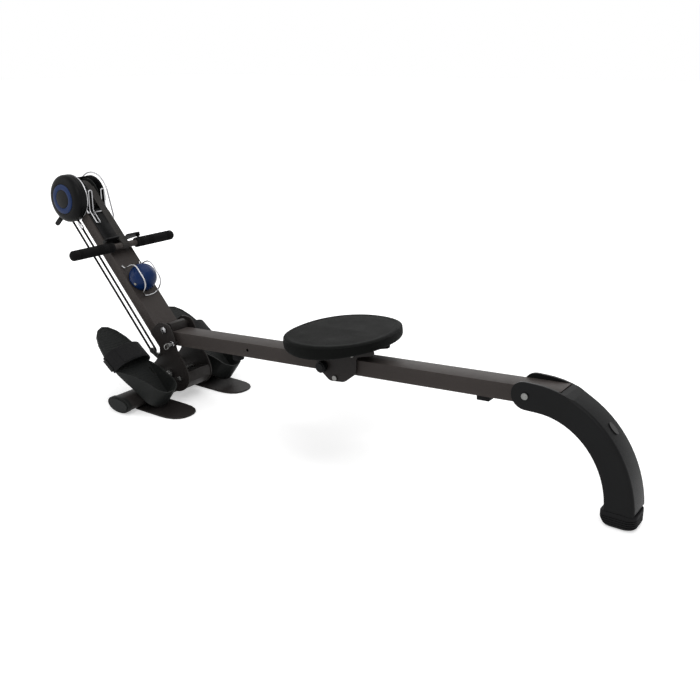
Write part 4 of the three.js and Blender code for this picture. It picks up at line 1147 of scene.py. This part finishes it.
print("loop of", LOOP_SWEEP, "degrees")

# %% [markdown]
# ## Foot straps
# Each foot strap is two halves of wide webbing that close over the instep. The upper half ends in a
# flap on top, stitches run along both edges, and both halves go down beside the sole. The arch is half
# an oval, as a strap pulled over a shoe makes, and the band follows it.

# %% Foot straps
SOLE_HALF = 61
STRAP_INNER = SOLE_HALF + 0.8
STRAP_RISE = 34
STRAP_FRONT = -56
STRAP_BACK = 2
STRAP_MIDDLE = (STRAP_FRONT + STRAP_BACK) / 2
FOOT_STRAP_THICK = 2.4 * MM
STITCH_X = 23  # of each stitched row, from the strap's middle
STITCH_OUT = 3.95 * MM


def strap_arch(axes, start, stop, steps, lift=0.0):
    """Points and outward directions of the arch between two angles."""
    line, outward = [], []
    for angle in sweep(start, stop, steps):
        y = (STRAP_INNER + lift) * math.cos(angle)
        z = (STRAP_RISE + lift) * math.sin(angle)
        line.append(axes.at(STRAP_MIDDLE, y, z))
        out = axes.y * math.cos(angle) / STRAP_INNER + axes.z * math.sin(angle) / STRAP_RISE
        outward.append(out.normalized())
    return line, outward


def foot_strap(side, axes):
    width = (STRAP_BACK - STRAP_FRONT) * MM
    arch, arch_out = strap_arch(axes, 0, 180, 56)
    down_right = [axes.at(STRAP_MIDDLE, STRAP_INNER, z) for z in (-8, -5, -2)]
    down_left = [axes.at(STRAP_MIDDLE, -STRAP_INNER, z) for z in (-2, -5, -8)]
    line = down_right + arch + down_left
    out = [axes.y] * 3 + arch_out + [-axes.y] * 3
    shapes = [band(line, width, FOOT_STRAP_THICK, lambda i: out[i], across=axes.x)]
    flap_from, flap_to = (58, 128) if side == "left" else (122, 52)
    flap, flap_out = strap_arch(axes, flap_from, flap_to, 26, lift=2.45)
    shapes.append(band(flap, width * 0.9, 1.5 * MM, lambda i: flap_out[i], across=axes.x))
    for x in (-STITCH_X, STITCH_X):
        raised = [p + axes.x * x * MM + o * STITCH_OUT for p, o in zip(*strap_arch(axes, 14, 166, 40))]
        for a, b in zip(raised[::2], raised[1::2]):
            shapes.append(tube([a, a.lerp(b, 0.8)], 0.3 * MM, 6))
    piece(f"foot_webbing_{side}", *together(*shapes), black_webbing, (f"foot_strap_{side}",))


for side, axes in pedals.items():
    foot_strap(side, axes)
print("two foot straps")

# %% [markdown]
# ## Treads on the footplates
# A bare sole would be slippery, so it is moulded with low cross ribs and a raised line round its toe.
# A bump in the finish would vanish from the side, so they are low round bars, half sunk in the sole.

# %% Footplate treads
RIB_HEIGHT = 0.7
RIB_STEP = 8
RIB_MARGIN = 12
RIB_BOW = 8
TOE_FROM, TOE_LENGTH = -20, 135  # the sole's widest place, and its oval toe
HEEL_HALF, HEEL_LENGTH = 42, 130
HEEL_CURVE_FROM = 118
HEEL_RIB, HEEL_MIDDLE, HEEL_REACH = 30, 113, 38  # the heel's ribs follow an oval
SHORTEST_RIB = 10


def sole_half_width(u):
    """Half the sole's width at a place along it, in millimetres."""
    past = u - TOE_FROM
    if past < 0:
        return SOLE_HALF * math.sqrt(max(0.0, 1 - (past / TOE_LENGTH) ** 2))
    return SOLE_HALF - (SOLE_HALF - HEEL_HALF) * min(1.0, past / HEEL_LENGTH)


def tread(side, axes):
    shapes = []
    for u in range(-138, 150, RIB_STEP):
        half = sole_half_width(u) - RIB_MARGIN
        if u > HEEL_CURVE_FROM:
            half = HEEL_RIB * math.sqrt(max(0.05, 1 - ((u - HEEL_MIDDLE) / HEEL_REACH) ** 2))
        if half < SHORTEST_RIB:
            continue
        bow = RIB_BOW * (half / SOLE_HALF) ** 2
        across = [half * (k / 6 - 1) for k in range(13)]
        line = [axes.at(u + bow * (1 - (y / half) ** 2), y, 0.1) for y in across]
        shapes.append(tube(line, RIB_HEIGHT * MM, 8))
    rim = [
        axes.at(TOE_FROM + (TOE_LENGTH - 6) * math.cos(angle), (SOLE_HALF - 6) * math.sin(angle), 0.2)
        for angle in sweep(90, 270, 48)
    ]
    shapes.append(tube(rim, 1.1 * MM, 8))
    shape = together(*shapes)
    piece(f"sole_tread_{side}", *shape, grey_plastic, body=f"pedal_{side}", slot="grey_plastic")


for side, axes in pedals.items():
    tread(side, axes)
print("two treads")

# %% [markdown]
# ## Resistance cord
# A rubber cord runs from the spool down the mast's side, round a small wheel at the bottom, and back up
# to a clamp. It is pulled tight, so its two runs are straight, and a tube along one line is enough.

# %% Resistance cord
CORD_Y = -53
CORD_RADIUS = 3.2
CORD_LOW = -226
CORD_WHEEL_H = -51.7
CORD_TURN = 10
CORD_STEP = 12 * MM
outer_top = (REEL_H - 36 - CORD_RADIUS - 0.3, REEL_T)
inner_top = (CORD_WHEEL_H + CORD_TURN + 5, 216)
wheel_axes = mast.moved(CORD_WHEEL_H, CORD_Y, CORD_LOW)
cord_line = [mast.at(outer_top[0], CORD_Y, outer_top[1])]
cord_line += [wheel_axes.around(CORD_TURN, angle) for angle in sweep(180, 360, 24)]
cord_line.append(mast.at(inner_top[0], CORD_Y, inner_top[1]))
full_line = []
for a, b in zip(cord_line, cord_line[1:]):
    parts = max(1, round((b - a).length / CORD_STEP))
    full_line += [a.lerp(b, k / parts) for k in range(parts)]
full_line.append(cord_line[-1])
piece("resistance_cord", *tube(full_line, CORD_RADIUS * MM, 16), black_rubber, ("bungee_cord",))
print("cord", round(sum((b - a).length for a, b in zip(full_line, full_line[1:])), 3), "m long")

# %% [markdown]
# ## Lock pin
# The pin that holds the rail up is a steel plunger with a collar, and a split ring through its end to
# pull it by. It is a turned profile and a closed tube, in one piece because they move as one.

# %% Lock pin
PIN_PLACE = (165.3, 0, -30)  # in the middle of the rail's height, behind its pivot
lock_axes = rail.moved(*PIN_PLACE)
COLLAR_FACE = -66.6
RING_RADIUS = 8
pin_profile = [(0.01, -30.4), (3.2, -30.4), (4, -31.2), (4, -62.6), (6.2, -62.6), (7, -63.2), (7, -66)]
pin_profile += [(6.2, COLLAR_FACE), (0.01, COLLAR_FACE)]
ring_centre = lock_axes.origin + Vector((0, (COLLAR_FACE - RING_RADIUS + 2) * MM, -2 * MM))
ring_line = [
    ring_centre + Vector((0, RING_RADIUS * math.cos(a), RING_RADIUS * math.sin(a))) * MM
    for a in round_angles(48)
]
pin_shape = together(lathe(lock_axes, pin_profile, 40), tube(ring_line, 1.4 * MM, closed=True))
piece("lock_plunger", *pin_shape, zinc, ("lock_pin",))
print("pin with a ring", 2 * RING_RADIUS, "mm across")

# %% [markdown]
# ## Seat
# The seat is a board, a slab of foam and a vinyl cover pulled down over it. The cover is sewn from a top
# panel and a side band, with a welt in the seam between them. A cloth simulation could swell it, but a
# firm pad barely moves: it dishes a little where the rower sits, and the cover draws in at its sides. So
# the form is built ring by ring from its section.

# %% Seat pad
SEAT_X = 140
SEAT_Y = 163
PAD_LOW = 43.2  # above the rail's top
TOP_LEVEL = 22.4
TOP_INSET = 14
TOP_RINGS = 16
SEAT_SIDES = 128
SEAT_ANGLES = round_angles(SEAT_SIDES)
POWER = 2.15  # 2 is an oval, more is squarer
DISH, CROWN, DENT = 2.2, 1.6, 0.35
SKIRT_SIDES, SKIRT_ENDS = 2.5, 7.5
PAD_SECTION = [  # inset, height, and how much of the skirt's drop it takes
    (26, 0, 0), (13, 0, 0), (11.6, -0.3, 0), (11.4, -1, 0), (11.4, -1, 1), (10.6, -2, 1), (8, -2.4, 1),
    (5, -1.6, 1), (2.4, 0, 1), (0.8, 2.4, 0.9), (0.1, 5, 0.6), (0, 9, 0.3), (0.3, 14, 0.1), (1.2, 17.2, 0),
    (2.6, 18.4, 0), (3.6, 19.6, 0), (5.5, 21.2, 0), (8.5, 22.2, 0), (13, 22.7, 0),
]


def rim_point(angle, inset):
    """The seat's outline, drawn in from its edge."""
    c, s = math.cos(angle), math.sin(angle)
    x = (SEAT_X - inset) * math.copysign(abs(c) ** (2 / POWER), c)
    y = (SEAT_Y - inset) * math.copysign(abs(s) ** (2 / POWER), s)
    return x, y


def pad_surface(x, y):
    """Height of the top panel: dished for the sit bones, crowned to the rim, with soft dents."""
    r = math.hypot(x / SEAT_X, y / SEAT_Y)
    dish = DISH * math.exp(-(((x - 10) / 60) ** 2) - ((abs(y) - 52) / 48) ** 2)
    crown = CROWN * (1 - r**2)
    dent = DENT * noise.noise(Vector((x, y, 0)) * 0.03)
    return crown - dish * (1 - r**4) + dent


def skirt_drop(angle):
    """How far the cover hangs past the foam to hide the board's edge: most at the two ends."""
    return SKIRT_SIDES + SKIRT_ENDS * math.sin(angle) ** 4


def pad_shape():
    """The closed pad: up its section, over the top in shrinking rings, and shut above and below."""
    vertices = []
    for inset, level, hanging in PAD_SECTION:
        for angle in SEAT_ANGLES:
            x, y = rim_point(angle, inset)
            z = level - hanging * skirt_drop(angle)
            pull_in = 0.25 * math.sin(9 * angle) if 3 < z < 16 else 0
            shrink = 1 - pull_in / SEAT_X
            vertices.append(seat.at(x * shrink, y * shrink, PAD_LOW + z))
    for k in range(TOP_RINGS):
        share = 1 - k / TOP_RINGS
        for angle in SEAT_ANGLES:
            x, y = (v * share for v in rim_point(angle, TOP_INSET))
            height = PAD_LOW + TOP_LEVEL + pad_surface(x, y) * min(1, k / 3)
            vertices.append(seat.at(x, y, height))
    rows = len(PAD_SECTION) + TOP_RINGS
    faces = skin(rows, SEAT_SIDES)
    top = len(vertices)
    vertices.append(seat.at(0, 0, PAD_LOW + TOP_LEVEL + pad_surface(0, 0)))
    last = (rows - 1) * SEAT_SIDES
    faces += [(last + i, last + (i + 1) % SEAT_SIDES, top) for i in range(SEAT_SIDES)]
    bottom = len(vertices)
    vertices.append(seat.at(0, 0, PAD_LOW))
    faces += [((i + 1) % SEAT_SIDES, i, bottom) for i in range(SEAT_SIDES)]
    return vertices, faces


WELT_INSET, WELT_LEVEL, WELT_RADIUS = 2, 18.2, 1.5 * MM
cushion = piece("seat_cushion", *pad_shape(), seat_vinyl, ("seat_pad",))
welt_line = [seat.at(*rim_point(angle, WELT_INSET), PAD_LOW + WELT_LEVEL) for angle in SEAT_ANGLES]
piece("seat_welt", *tube(welt_line, WELT_RADIUS, 8, closed=True), seat_vinyl, body="seat", slot="vinyl")
print("seat", 2 * SEAT_X, "by", 2 * SEAT_Y, "mm")

# %% [markdown]
# ## End of the scene

# %% End
print("scene built")
